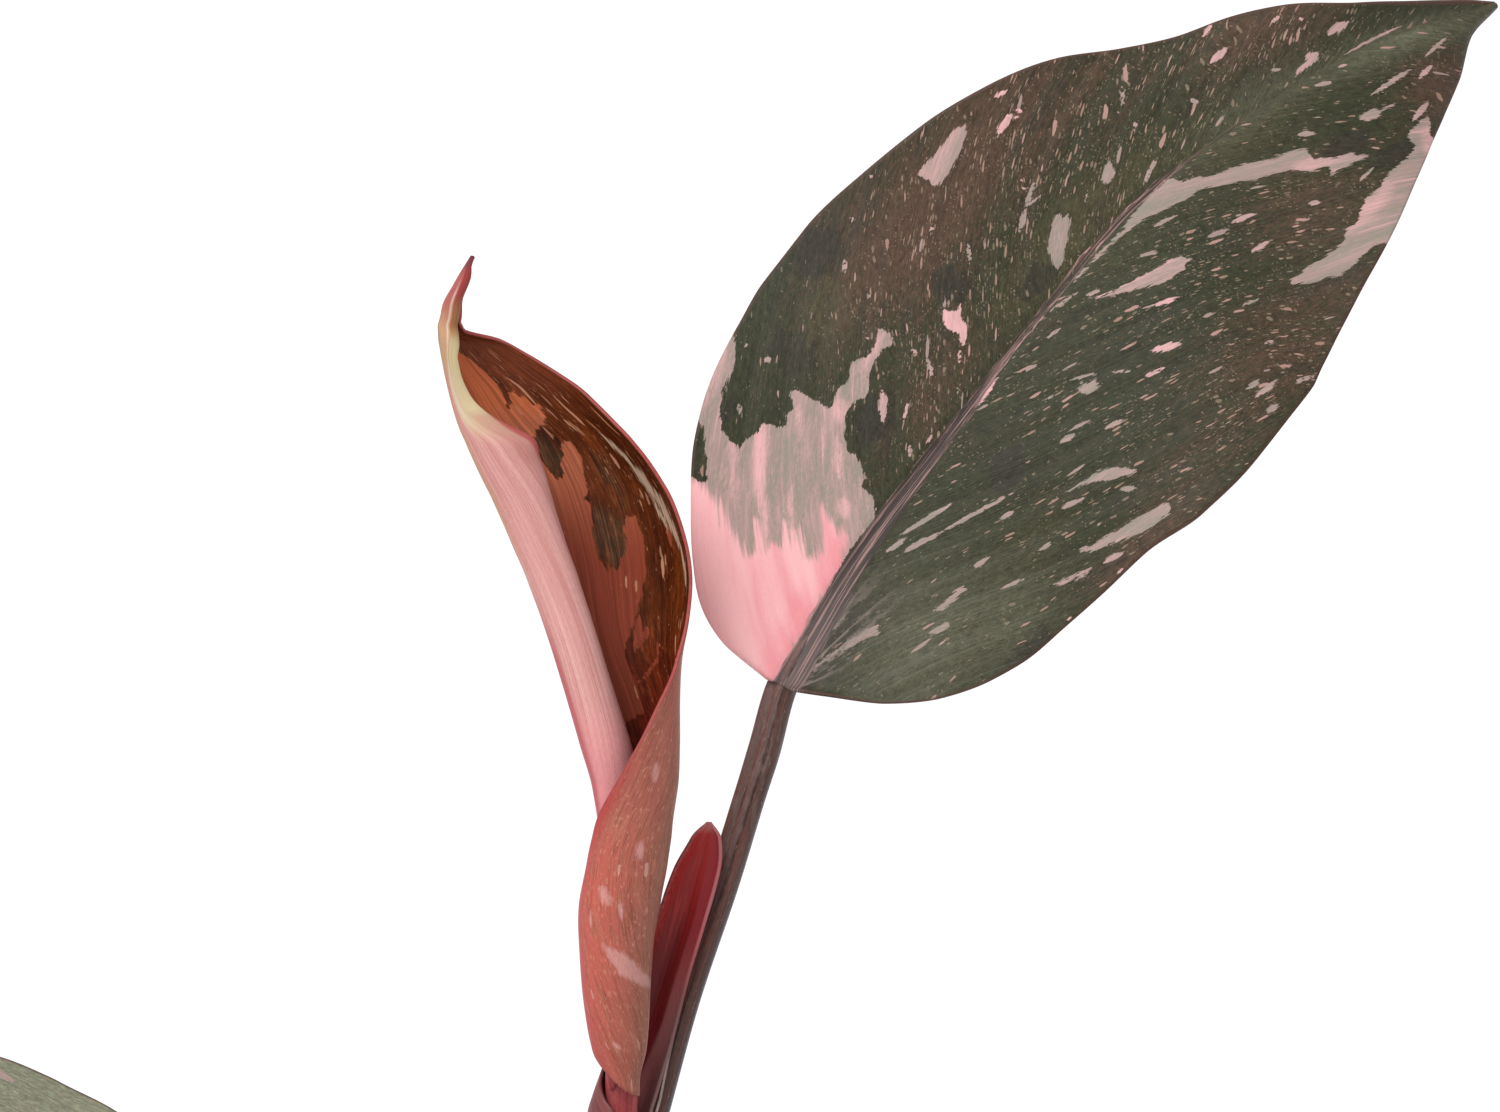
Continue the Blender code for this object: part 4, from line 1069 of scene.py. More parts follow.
def stalk(name, leaf):
    """A stalk from the stem to the blade, and on under its midrib."""
    line = list(leaf["stalk"]) + keel_points(leaf, KEEL_SHARES)
    rows = measured(line)
    joint = rows[len(leaf["stalk"]) - 1, 0]

    def radius_at(t, turn):
        beyond = np.clip((t - joint) / (1 - joint), 0, 1)
        free = leaf["radius"] * (1 + 0.12 * (1 - t / joint) + 0.35 * np.exp(-t / joint * 14))
        radius = np.where(t > joint, keel_radius(leaf, KEEL_SHARES[-1] * beyond), free)
        on_stalk = 1 - ease(t, joint * 0.92, joint)
        groove = 0.16 * bell(turn + 0.35, 0.42) + 0.05 * bell(np.abs(turn) - 1.5, 0.3)
        ridges = 0.05 * bell(turn - 0.45, 0.22) + 0.05 * bell(turn + 1.1, 0.2)
        end = np.sqrt(np.clip((1 - t) / 0.012, 0, 1))
        return radius * (1 + (ridges - groove) * on_stalk) * end

    bm = tube(line, radius_at, around=40, along=220)
    finished(bm, "stalk_%s_fine" % name, [stalk_skin], ["stalk_" + name])


# %% The five stalks
for name, leaf in LEAVES.items():
    stalk(name, leaf)

# %% [markdown]
# ## The newest leaf
#
# A new leaf grows rolled up like a paper cone. Here it has opened half way: its inner half is still
# a slim pale tube, and its outer half stands open behind it and closes round the foot in front. One
# grid makes the whole leaf. It runs from the inner margin to the outer one, and a short table
# gives the roll's middle, width and angles at each height, as in the frame.

# %% The roll's shape
# Height, middle x and y, half width, depth as a share of it, then degrees round the roll for the
# midrib, the outer margin and the inner margin, and the inner half's own half width
ROLL = (
    (221, -2.1, -3.6, 1.57, 1, 225, 540, 20, 1.15),
    (225, -2.6, -3.6, 2.07, 1, 225, 540, 20, 1.35),
    (228.8, -2.78, -3.6, 3.03, 1, 225, 540, 0, 1.65),
    (232.9, -2.98, -3.6, 3.53, 1, 225, 540, -20, 1.95),
    (238.6, -3.16, -3.6, 3.94, 1, 225, 538, -40, 2.25),
    (244.3, -3.1, -3.6, 4.27, 1, 225, 537, -60, 2.45),
    (250, -2.54, -3.6, 4.66, 1, 225, 536, -80, 2.65),
    (255.7, -1.54, -3.5, 4.66, 1, 222, 530, -90, 2.85),
    (260, -1.14, -3.4, 4.82, 1, 216, 512, -100, 3.05),
    (265.6, -1.16, -3.2, 5.52, 1, 206, 478, -110, 3.35),
    (272, -1.88, -3, 6.47, 0.98, 196, 441, -120, 3.75),
    (278.4, -2.8, -2.7, 7.3, 0.95, 188, 410, -130, 3.6),
    (284.1, -3.55, -2.4, 8.23, 0.91, 183, 381, -130, 3.55),
    (289.7, -4.05, -2, 9.55, 0.86, 180, 366, -125, 3.6),
    (295.4, -4.95, -1.6, 10.75, 0.81, 180, 361, -115, 3.75),
    (301, -6.61, -1.2, 11.49, 0.77, 180, 360, -100, 4),
    (306.7, -8.87, -0.8, 11.74, 0.75, 180, 359, -75, 4.45),
    (309.5, -10.36, -0.6, 11.65, 0.75, 180, 358, -50, 4.85),
    (312.4, -12, -0.4, 11.37, 0.75, 180, 357, -22, 5.2),
    (314.7, -13.4, -0.2, 10.97, 0.75, 180, 355, 2, 5.55),
    (317, -14.8, 0, 10.57, 0.76, 180, 345, 45, 4.45),
    (319.2, -15.9, 0.2, 10.17, 0.78, 178, 335, 72, 3.25),
    (321.5, -17, 0.4, 9.67, 0.8, 175, 326, 85, 2.45),
    (323.6, -17.91, 0.6, 9.26, 0.82, 172, 311, 85, 1.95),
    (326.4, -19.31, 0.8, 8.41, 0.86, 168, 292, 80, 1.65),
    (328.5, -20.9, 0.9, 7.17, 0.92, 165, 278, 40, 1.45),
    (329.9, -24.2, 0.9, 3.97, 1, 162, 264, 15, 1.35),
    (331.3, -26.52, 0.9, 1.63, 1, 160, 311, 5, 1.3),
    (333.4, -26.45, 0.9, 1.21, 1, 160, 333, 5, 1.26),
    (336.9, -24.9, 1, 1, 1, 170, 287, 30, 1),
    (340.7, -22.6, 1.2, 1, 1, 180, 200, 160, 1),
)
ROLL_ROWS = (
    (0.0, 228.8), (0.12, 240), (0.35, 270), (0.55, 295), (0.7, 312),
    (0.8, 321), (0.9, 328.5), (0.95, 333), (1.0, 340.7),
)
ROLL_GROWTH = 0.25  # how much wider the roll gets in one turn
ROLL_DIP = (5.5, 4.0)  # mm that the foot dips by at the midrib, and by between there and a margin
ROLL_LIFT = 4.0  # mm that the outer margin lies higher
ROLL_THICKNESS = 0.5 * MM
ROLL_FINENESS = (200, 230)
ROLL_WIDTH = 38  # mm, how far the opened leaf reaches from its midrib to a margin


def roll_points(s, t):
    """Points of the rolled leaf: s runs from the inner margin to the outer one, t from the base."""
    height = smooth(ROLL_ROWS, t)[:, 0]
    start = np.maximum(0, 1 - t / 0.16) ** 2
    low, belly = ROLL_DIP
    out, inn = np.maximum(s, 0), np.maximum(-s, 0)
    height = height + ROLL_LIFT * out**2 * (1 - t) * np.minimum(1, t * 6)
    outer_dip = low * (1 - out) + belly * np.sin(math.pi * out**1.4)
    inner_dip = low * (1 - inn) + 0.6 * belly * np.sin(math.pi * inn)
    height = height - start * np.where(s >= 0, outer_dip, inner_dip)
    x, y, half, share, middle, outer, inner, inner_half = smooth(ROLL, height).T
    outer_turn = middle + s * (outer - middle)
    inner_turn = middle + s * (middle - inner)
    rib_reach = half * (1 + ROLL_GROWTH * (middle - 180) / 360)
    rib = np.radians(middle)
    inner_x = x + np.cos(rib) * (rib_reach - inner_half)
    inner_y = y - np.sin(rib) * share * (rib_reach - inner_half)
    outside = s >= 0
    outer_reach = half * (1 + ROLL_GROWTH * (outer_turn - 180) / 360)
    reach = np.where(outside, outer_reach, inner_half * (1 + 0.28 * s))
    turn = np.radians(np.where(outside, outer_turn, inner_turn))
    x = np.where(outside, x, inner_x) + reach * np.cos(turn)
    y = np.where(outside, y, inner_y) - reach * share * np.sin(turn)
    return np.column_stack([x, y, height]) * MM, height, np.degrees(turn)


print("The roll is", round(ROLL[-1][0] - ROLL[0][0]), "mm tall")

# %% [markdown]
# ## The colours of the newest leaf
#
# Its upper face, seen inside the roll, is glossy red-brown where the leaf will be green and salmon
# where it will be pink, with tongues of one running into the other along the veins. Its underside,
# seen on the tube and on the wrap in front, is pale pink and salmon with fine darker veins. The
# young midrib is cream. As on the grown leaf, the marks are outlines and spindles, here given by
# the share across the leaf and the height.

# %% Marks on the newest leaf
ACROSS = 40  # mm that the whole way from the midrib to a margin counts for in these marks
# The salmon part of the upper face: mm across and height in mm
SALMON = (
    (0, 331), (14, 328.2), (17.6, 327.3), (20.8, 325.8), (21.6, 324), (21.2, 322.2), (20, 320.2),
    (18.6, 318.6), (20.2, 319.4), (21.8, 321), (23.6, 321.6), (23.2, 320.4), (24.6, 320.6), (24.4, 319.4),
    (25.6, 319.3), (24.8, 318.4), (24.6, 317.6), (23, 317), (23.4, 316.3), (21.4, 316.4), (20.4, 315.6),
    (18.4, 314.6), (17.4, 313), (17.6, 310.1), (18, 308.6), (19.2, 309), (20, 310.8), (21.4, 312.4),
    (21.8, 313.6), (23, 314.3), (24, 314), (24, 312), (22.6, 309.6), (22, 307), (20.4, 305.7),
    (21.6, 305.3), (20.6, 303.5), (20, 301.3),
    (19.4, 298.9), (19.6, 296.8), (20.2, 295.6), (21.2, 296.4), (22, 296), (22.8, 297.4), (23.8, 298.2),
    (24.4, 300), (24.8, 302), (26, 303.8), (27, 303.2), (27.6, 303.9), (27.6, 301), (27, 298), (26.4, 295),
    (25, 291.9), (23.4, 289), (22, 287.2), (20.4, 285.6), (19.4, 284.2), (18.8, 281), (18, 276), (0, 270),
)
SALMON_SPINDLES = (
    (24.2, 289.8, 22.6, 284.8, 1.8), (25.6, 288.2, 24, 285.8, 1.1), (22.8, 286.8, 21.2, 284.2, 0.9),
    (16, 278.4, 28, 284.4, 0.5), (20, 279.6, 30, 286.6, 0.4), (33.6, 302.8, 33, 299.4, 1.5),
    (27, 286, 25.6, 282.5, 0.8),
)
CREAM_STREAK = (
    (31, 316, 32.8, 309.6, 1.6), (32.4, 312, 33.4, 306, 3.4), (33, 308.6, 35, 302.6, 4.0),
    (34.4, 305, 36.4, 298, 2.8), (35.8, 301, 37, 293, 1.8), (32.2, 306, 33.4, 301.6, 1.4),
)
# Lilac marks on the wrap
LILAC = (
    (35.2, 270.4, 32.8, 267.5, 1.6), (29.6, 259.3, 27.6, 256.3, 1.9), (34, 252.6, 30.8, 250, 2.0),
    (29.6, 251, 28.4, 247.7, 1.0), (24, 249.8, 23.6, 248.7, 0.9), (30.8, 230.6, 28, 229.4, 1.0),
    (35, 249.5, 34.4, 246.5, 0.9),
)
LILAC_BAND = (
    (32, 244.8), (30, 244), (27.2, 243.2), (23.2, 240.6), (18, 238.6), (18, 237.4), (23.6, 238.4),
    (28, 239.9), (30, 241.8), (31.6, 243.7),
)
# Soft zones, like those on the large leaf, with the height first
NEW_FLECKED = ((321, 26, 8, 5, 1.5), (313, 29, 8, 6, 0.9), (302, 33, 12, 5, 0.5), (284, 29, 8, 6, 0.4))
NEW_GREY = ((300, 22.3, 5, 3, 1.0), (312, 19, 4, 2.2, 0.9), (310, 27, 6, 3, 0.5))


def spindles_on_roll(across, height, spindles):
    """The depth inside the nearest of the spindles."""
    return np.max([spindle(across, height, mark) for mark in spindles], axis=0)


bm, s, t = lattice(*ROLL_FINENESS)
points, height, turn = roll_points(s, t)
across = s * ACROSS
salmon = np.maximum(outlined(across, height, SALMON), spindles_on_roll(across, height, SALMON_SPINDLES))
salmon = np.where(s < 0, 4.0, salmon)
cream = spindles_on_roll(across, height, CREAM_STREAK)
lilac = np.maximum(outlined(across, height, LILAC_BAND), spindles_on_roll(across, height, LILAC))
half_share = np.where(s > 0, 1.0, 0.6)  # the inner half is narrower
width_here = ROLL_WIDTH * half_share * (0.25 + 0.75 * np.sin(math.pi * np.clip(t, 0.02, 0.98)))
edge = (1 - np.abs(s)) * width_here
curl = 15 * (1 - np.exp(-np.maximum(height - 225, 0) / 20))  # the wrap's veins bend round its foot
number = s * ROLL_WIDTH - np.where(s > 0, 13.3 * t + curl, 4.0 * t)
put(
    bm, points, vein=np.column_stack([number, height, s * ROLL_WIDTH]),
    marks=np.column_stack([salmon, cream, edge]), shade=np.column_stack([lilac, s, t]),
    tone=np.column_stack([areas(height, across, NEW_FLECKED), areas(height, across, NEW_GREY), t]),
)
print("The new leaf's grid has", len(s), "points")


# %% The newest leaf's upper face
def new_upper_finish():
    """The glossy red-brown inside of the roll, with its salmon tongues."""
    f = Finish("new_leaf_upper_face", 0.36, 0.12)
    vein, _, height, _ = f.layer("vein")
    _, salmon, cream, edge = f.layer("marks")
    _, flecked, grey, _ = f.layer("tone")
    drift = f.clouds(vein, (0.22, 0.05, 0), 4, 0.6)
    brown = f.blend(f.step(drift, 0.38, 0.62), (0.072, 0.015, 0.004), (0.125, 0.026, 0.005))
    ragged = f.wander(vein, (0.4, 0.15, 0), 0.5, 4, 0.6)
    # Painted light: the brown is lifted near the beak, where the hollow of the roll lies in shade
    brown = f.over(brown, (0.21, 0.048, 0.018), f.step(height, 317.0, 325.0), 0.7)
    lines = f.clouds(vein, (2.6, 0.04, 0), 3, 0.65)
    olive = f.blend(f.step(lines, 0.42, 0.60), (0.062, 0.030, 0.014), (0.125, 0.055, 0.026))
    brown = f.over(brown, olive, f.step(f.plus(grey, ragged), 0.2, 0.7), 0.85)
    brown = f.over(brown, (0.13, 0.012, 0.006), f.below(height, 272.0, 292.0), 0.85)
    mottle = f.clouds(vein, (1.8, 0.8, 0), 4, 0.8)
    brown = f.shaded(brown, f.scaled(mottle, 1.4, 0.2))
    brown = f.shaded(brown, f.scaled(lines, 1.8, 0.1))
    blaze = f.times(f.step(f.clouds(vein, (0.9, 0.22, 0), 4, 0.7), 0.54, 0.66), 0.5)
    brown = f.blend(blaze, brown, (0.25, 0.060, 0.018))
    shadows = f.clouds(vein, (1.2, 0.16, 0), 4, 0.75)
    brown = f.shaded(brown, f.scaled(shadows, 2.6, -0.35))
    # The salmon darkens lower down: partly its own colour, partly painted shade deep in the roll
    orange = f.blend(f.step(height, 296.0, 314.0), (0.23, 0.044, 0.022), (0.42, 0.120, 0.060))
    # Painted light: the salmon is lifted near the top, where the hollow of the roll lies in shade
    orange = f.over(orange, (0.54, 0.135, 0.050), f.step(height, 316.0, 320.0), 0.9)
    threads = f.clouds(vein, (2.8, 0.03, 0), 3, 0.65)
    orange = f.shaded(orange, f.scaled(threads, 1.9, 0.05))
    rough_edge = f.wander(vein, (1.3, 0.35, 0), 0.9, 4, 0.7)
    colour = f.blend(f.step(f.plus(salmon, rough_edge), -0.05, 0.15), brown, orange)
    dense = f.scaled(flecked, 1.8, 0.15)
    for wide, long, share, size, strength in (
        (0.4, 1.2, 0.16, 0.30, 0.35), (0.8, 3.6, 0.16, 0.32, 0.60), (1.3, 7.5, 0.10, 0.32, 0.85),
    ):
        spots = f.flecks(f.stretch(vein, 1 / wide, 1 / long, 0), f.times(dense, share), size)
        colour = f.over(colour, (0.50, 0.24, 0.14), spots, strength)
    strands = f.wander(vein, (2.2, 0.12, 0), 1.6, 4, 0.75)
    streak = f.step(f.plus(cream, strands), 0.0, 0.45)
    colour = f.over(colour, (0.58, 0.42, 0.30), streak, 0.8)
    rim = f.below(edge, 0.1, 0.45)
    colour = f.over(colour, (0.38, 0.11, 0.10), rim, 0.8)
    gloss = f.scaled(mottle, 0.2, 0.28)
    return f.wear(colour, f.plus(f.times(threads, 0.07), f.times(mottle, 0.05)), gloss)


new_top = new_upper_finish()
print("Inside, the newest leaf wears", new_top.material.name)


# %% The tube and its beak
def beak_colour(f, vein, height, inward, wavy):
    """The leaf's tip, rolled to a point: tan, then red."""
    fine = f.clouds(vein, (1.1, 0.10, 0), 3, 0.6)
    outer = f.blend(f.step(height, 330.0, 335.0), (0.50, 0.29, 0.16), (0.42, 0.115, 0.10))
    inner = f.blend(f.step(height, 328.0, 331.0), (0.58, 0.46, 0.26), (0.36, 0.15, 0.06))
    inner = f.blend(f.step(height, 332.5, 336.0), inner, (0.36, 0.055, 0.052))
    beak = f.blend(f.step(f.plus(inward, wavy), 15.0, 20.0), outer, inner)
    return f.shaded(beak, f.scaled(fine, 0.9, 0.55))


def tube_colour(f):
    """The pale pink underside of the inner half, its cream midrib, and the red beak."""
    vein, _, height, across = f.layer("vein")
    edge = f.layer("marks")[3]
    threads = f.clouds(vein, (3.4, 0.02, 0), 2, 0.6)
    drift = f.clouds(vein, (0.35, 0.02, 0), 3, 0.55)
    colour = f.blend(f.step(drift, 0.35, 0.70), (0.64, 0.33, 0.305), (0.54, 0.235, 0.215))
    colour = f.over(colour, (0.44, 0.15, 0.14), f.step(threads, 0.50, 0.62), 0.55)
    light = f.clouds(vein, (2.4, 0.03, 0), 2, 0.6)
    colour = f.over(colour, (0.72, 0.46, 0.41), f.step(light, 0.54, 0.64), 0.4)
    colour = f.blend(f.below(height, 262.0, 284.0), colour, (0.70, 0.26, 0.27))
    low = f.below(height, 282.0, 296.0)
    lean = f.math("MAXIMUM", f.scaled(height, -0.155, 45.0), 0.0)
    left = f.step(f.plus(across, lean), -5.0, -2.0)
    colour = f.over(colour, (0.42, 0.06, 0.08), low, left, 0.85)
    # Darker rose down the lower right: partly the margin's own rose, partly painted shade on the side away
    # from the lamp
    right = f.step(f.times(across, -1.0), 22.0, 27.0)
    colour = f.over(colour, (0.40, 0.10, 0.09), low, right, 0.7)
    rose = f.below(edge, 0.3, 1.6)
    colour = f.over(colour, (0.46, 0.12, 0.10), rose, 0.5)
    inward = f.times(across, -1.0)
    ragged = f.wander(vein, (0.3, 0.05, 0), 5.0, 3, 0.6)
    near_rib = f.below(f.plus(inward, f.times(ragged, 0.3)), 2.5, 6.0)
    colour = f.over(colour, (0.50, 0.25, 0.135), f.step(height, 296.0, 308.0), near_rib, 0.9)
    wavy = f.wander(vein, (0.5, 0.12, 0), 2.5, 3, 0.6)
    strip = f.times(f.step(f.plus(height, wavy), 314.0, 319.0), f.step(f.plus(inward, ragged), 7.0, 12.0))
    colour = f.over(colour, (0.60, 0.48, 0.29), strip, 0.95)
    triangle = f.times(f.step(f.plus(height, wavy), 309.0, 313.0), f.below(height, 318.0, 319.5))
    colour = f.over(colour, (0.44, 0.17, 0.14), triangle, f.step(inward, 16.0, 24.0), 0.5)
    above = f.math("MAXIMUM", f.plus(height, -315.6), 0.0)
    crest = f.below(f.plus(edge, f.times(above, 1.3)), 3.2, 5.0)
    colour = f.over(colour, (0.46, 0.09, 0.085), triangle, crest, 0.9)
    beak = beak_colour(f, vein, height, inward, wavy)
    colour = f.blend(f.step(height, 323.0, 327.0), colour, beak)
    pale = f.times(f.step(height, 316.0, 320.0), f.below(height, 335.0, 338.0))
    pale = f.times(pale, f.line(f.plus(inward, wavy), 14.5, 0.6, 2.0))
    colour = f.over(colour, (0.70, 0.52, 0.44), pale, 0.8)
    colour = f.blend(f.below(height, 226.0, 233.0), colour, (0.28, 0.042, 0.045))
    return f.blend(f.step(height, 337.5, 340.5), colour, (0.17, 0.03, 0.045))


print("The tube's cream midrib ends in a red beak")


# %% The wrap, and the whole newest leaf
def new_lower_finish():
    """The outside of the roll: pale pink tube, cream midrib, salmon and beige wrap."""
    f = Finish("new_leaf_underside", 0.42, 0.15)
    vein, _, height, _ = f.layer("vein")
    edge = f.layer("marks")[3]
    _, lilac, share, _ = f.layer("shade")
    wrap = f.blend(f.step(share, 0.50, 0.90), (0.27, 0.098, 0.068), (0.47, 0.100, 0.075))
    wrap = f.over(wrap, (0.26, 0.112, 0.080), f.step(height, 248.0, 272.0), 0.55)
    patches = f.clouds(vein, (0.4, 0.12, 0), 4, 0.65)
    wrap = f.over(wrap, (0.46, 0.17, 0.11), f.step(patches, 0.52, 0.66), 0.45)
    threads = f.clouds(vein, (2.6, 0.05, 0), 3, 0.65)
    wrap = f.over(wrap, (0.24, 0.070, 0.046), f.step(threads, 0.52, 0.62), 0.62)
    hairs = f.line(f.clouds(vein, (0.8, 0.035, 0), 3, 0.65), 0.5, 0.004, 0.018)
    wrap = f.over(wrap, (0.17, 0.050, 0.032), hairs, 0.6)
    brown = f.step(f.clouds(vein, (0.9, 0.25, 0), 4, 0.7), 0.50, 0.62)
    wrap = f.over(wrap, (0.30, 0.125, 0.070), brown, 0.35)
    specks = f.step(f.clouds(vein, (2.4, 1.0, 0), 2, 0.6), 0.58, 0.68)
    wrap = f.over(wrap, (0.60, 0.31, 0.22), specks, 0.42)
    flank = f.below(f.plus(share, f.wander(vein, (0.3, 0.05, 0), 0.2)), 0.42, 0.62)
    wrap = f.over(wrap, (0.29, 0.165, 0.115), flank, f.step(height, 250.0, 262.0), 0.7)
    spots = f.flecks(f.stretch(vein, 0.6, 0.22, 0), 0.10, 0.30)
    wrap = f.over(wrap, (0.62, 0.38, 0.33), spots, 0.45)
    lilac = f.step(f.plus(lilac, f.wander(vein, (1.4, 0.6, 0), 0.9, 4, 0.75)), -0.35, 0.55)
    wrap = f.over(wrap, (0.60, 0.32, 0.30), lilac, 0.55)
    fold = f.times(f.line(share, 0.455, 0.012, 0.02), f.below(height, 232.0, 240.0))
    wrap = f.over(wrap, (0.62, 0.33, 0.30), fold, 0.6)
    foot = f.below(height, 262.0, 276.0)
    wrap = f.over(wrap, (0.42, 0.045, 0.05), foot, f.below(edge, 0.4, 2.6), 0.8)
    wrap = f.over(wrap, (0.34, 0.06, 0.06), f.below(edge, 0.1, 0.5), 0.8)
    colour = f.blend(f.step(share, 0.01, 0.05), tube_colour(f), wrap)
    mottle = f.clouds(vein, (2.6, 1.2, 0), 3, 0.7)
    colour = f.shaded(colour, f.scaled(mottle, 0.5, 0.75))
    return f.wear(colour, f.plus(f.times(threads, 0.09), f.times(mottle, 0.03)))


new_under = new_lower_finish()
new_leaf = finished(bm, "new_leaf_fine", [new_top, new_under], ["new_leaf"])
thicken(new_leaf, ROLL_THICKNESS, 1, 1)

# %% [markdown]
# ## The sheath and the new leaf's stalk
#
# Before it opened, the new leaf was wrapped in a pointed sheath. The sheath has split down one side
# and stands open beside it like a narrow boat, glossy dark red inside and mauve outside.

# %% The sheath
SHEATH_THICKNESS = 0.5 * MM
SHEATH_HALF = 8  # mm that half the way across the sheath counts for in its patterns
# Height, middle x and y, radius, then degrees round the stalk for the right and the left margin
SHEATH = (
    (184.5, -5.2, -0.9, 3.6, 398, 88),
    (195.0, -5.0, -0.9, 3.95, 395, 90),
    (206.8, -4.08, -0.7, 4.2, 385, 92),
    (219.4, -2.93, -0.5, 4.37, 365, 95),
    (221.8, -2.22, -0.3, 4.37, 358, 130),
    (225.0, -1.15, -0.15, 4.3, 352, 174),
    (228.2, -0.09, 0.0, 4.23, 350, 200),
    (238.2, 2.75, 0.5, 3.95, 350, 224),
    (246.7, 5.58, 1.0, 3.67, 350, 212),
    (253.7, 7.99, 1.8, 3.24, 345, 195),
    (257.9, 9.26, 2.5, 2.11, 340, 195),
    (260.2, 9.69, 3.0, 1.2, 285, 255),
)


def sheath_finish(name, deep, bright, flank, gloss):
    """Long fine lines on dark red, brighter towards the top, with a mauve flank on the right."""
    f = Finish(name, gloss, 0.25)
    vein, _, height, share = f.layer("vein")
    threads = f.clouds(vein, (2.0, 0.03, 0), 3, 0.6)
    drift = f.wander(vein, (0.5, 0.06, 0), 8.0, 3)
    up = f.step(f.plus(height, drift), 236.0, 256.0)
    colour = f.blend(up, deep, bright)
    colour = f.shaded(colour, f.scaled(threads, 1.4, 0.3))
    ragged = f.wander(vein, (0.6, 0.1, 0), 0.10, 3)
    flank_colour = f.blend(f.step(height, 230.0, 246.0), flank, (0.34, 0.050, 0.060))
    side = f.plus(share, ragged)
    colour = f.over(colour, flank_colour, f.step(side, 0.22, 0.42), 0.9)
    streaks = f.step(f.clouds(vein, (0.8, 0.10, 0), 4, 0.7), 0.50, 0.64)
    colour = f.over(colour, (0.44, 0.04, 0.03), streaks, up, f.below(side, -0.2, 0.2))
    low_flank = f.times(f.step(side, 0.55, 0.95), f.below(height, 226.0, 244.0))
    colour = f.over(colour, (0.20, 0.115, 0.11), low_flank, 0.8)
    lip = f.times(f.step(share, 0.93, 1.0), f.step(height, 234.0, 250.0))
    colour = f.over(colour, (0.42, 0.14, 0.15), lip, 0.7)
    lip_left = f.times(f.step(f.times(share, -1.0), 0.45, 0.95), f.step(height, 238.0, 250.0))
    fuzz = f.clouds(vein, (2.5, 1.5, 0), 3, 0.7)
    colour = f.over(colour, (0.46, 0.07, 0.07), lip_left, f.step(fuzz, 0.40, 0.65))
    tip = f.step(f.plus(height, f.wander(vein, (1.5, 0.6, 0), 1.5, 3)), 258.4, 260.2)
    colour = f.over(colour, (0.52, 0.20, 0.20), tip, 0.7)
    return f.wear(colour, f.times(threads, 0.10))


# The inside's flank colour is the rolled margin's own mauve, made lighter as painted light for the light that
# margin catches
sheath_inside = sheath_finish(
    "sheath_inside", deep=(0.16, 0.006, 0.008), bright=(0.33, 0.018, 0.018),
    flank=(0.36, 0.125, 0.125), gloss=0.34,
)
sheath_outside = sheath_finish(
    "sheath_outside", deep=(0.16, 0.045, 0.045), bright=(0.20, 0.05, 0.05),
    flank=(0.15, 0.04, 0.045), gloss=0.42,
)
bm, s, t = lattice(48, 150)
lowest, highest = SHEATH[0][0], SHEATH[-1][0]
height = lowest + (highest - lowest) * (1 - (1 - t) ** 1.35)
x, y, radius, right, left = smooth(SHEATH, height).T
turn = np.radians(left + (right - left) * (s + 1) / 2)
points = np.column_stack([x + radius * np.cos(turn), y - radius * np.sin(turn), height]) * MM
put(bm, points, vein=np.column_stack([s * SHEATH_HALF, height, s]))
sheath = finished(bm, "sheath_fine", [sheath_inside, sheath_outside], ["sheath"])
thicken(sheath, SHEATH_THICKNESS, 1, 1)

# %% The new leaf's stalk
NEW_STALK = (
    (-5, -0.6, 182), (-4.9, -0.6, 190), (-4.2, -0.7, 205), (-2.8, -1.0, 217), (-2.7, -1.4, 222.6),
    (-2.8, -2.4, 228),
)
NEW_STALK_RADIUS = 2.3
new_stalk_skin = stalk_finish(
    "new_stalk_skin", brown=(0.26, 0.028, 0.032), mauve=(0.42, 0.10, 0.10), red=(0.40, 0.05, 0.05),
    banding=0.0,
)


def new_stalk_radius(t, turn):
    """A round stalk, thinner where the leaf begins, with a slight groove."""
    rounded = np.sqrt(np.clip((1 - t) / 0.02, 0, 1))
    return (NEW_STALK_RADIUS - 0.2 * ease(t, 0.9, 1)) * (1 - 0.08 * bell(turn, 0.5)) * rounded


bm = tube(NEW_STALK, new_stalk_radius, around=36, along=90)
finished(bm, "new_stalk_fine", [new_stalk_skin], ["new_stalk"])

# %% [markdown]
# ## The stem
#
# The stem is a jointed rod. At each node a ring-shaped scar shows where a leaf or sheath was
# attached, and short air roots push out. The rings are narrow dips in the radius.

# %% Stem and air roots
STEM_LINE = (
    (1, 1, 66), (1, 1, 104), (-0.5, 2, 122), (-2, 1, 140), (-2.8, 2.5, 158), (-4.4, 1.2, 174), (-5, 1.4, 188),
)
STEM_RADIUS, STEM_TOP, ROOT_RADIUS = 4.2, 188, 1.1
NODE_HEIGHTS = (112, 126, 140, 155, 170, 184)
NODE_SWELL, NODE_HALF = 0.18, 2.4  # a share of the radius, and mm along the stem
SCAR_DEPTH, SCAR_HALF = 0.10, 0.35
AIR_ROOTS = (
    ((-2, 0, 112), (-9, -4, 111), (-13, -7, 106)),
    ((0, 2, 126), (8, -1, 124), (12, -4, 117), (13, -5, 109)),
    ((-2, 1, 141), (1, 9, 139), (2, 12, 133)),
)


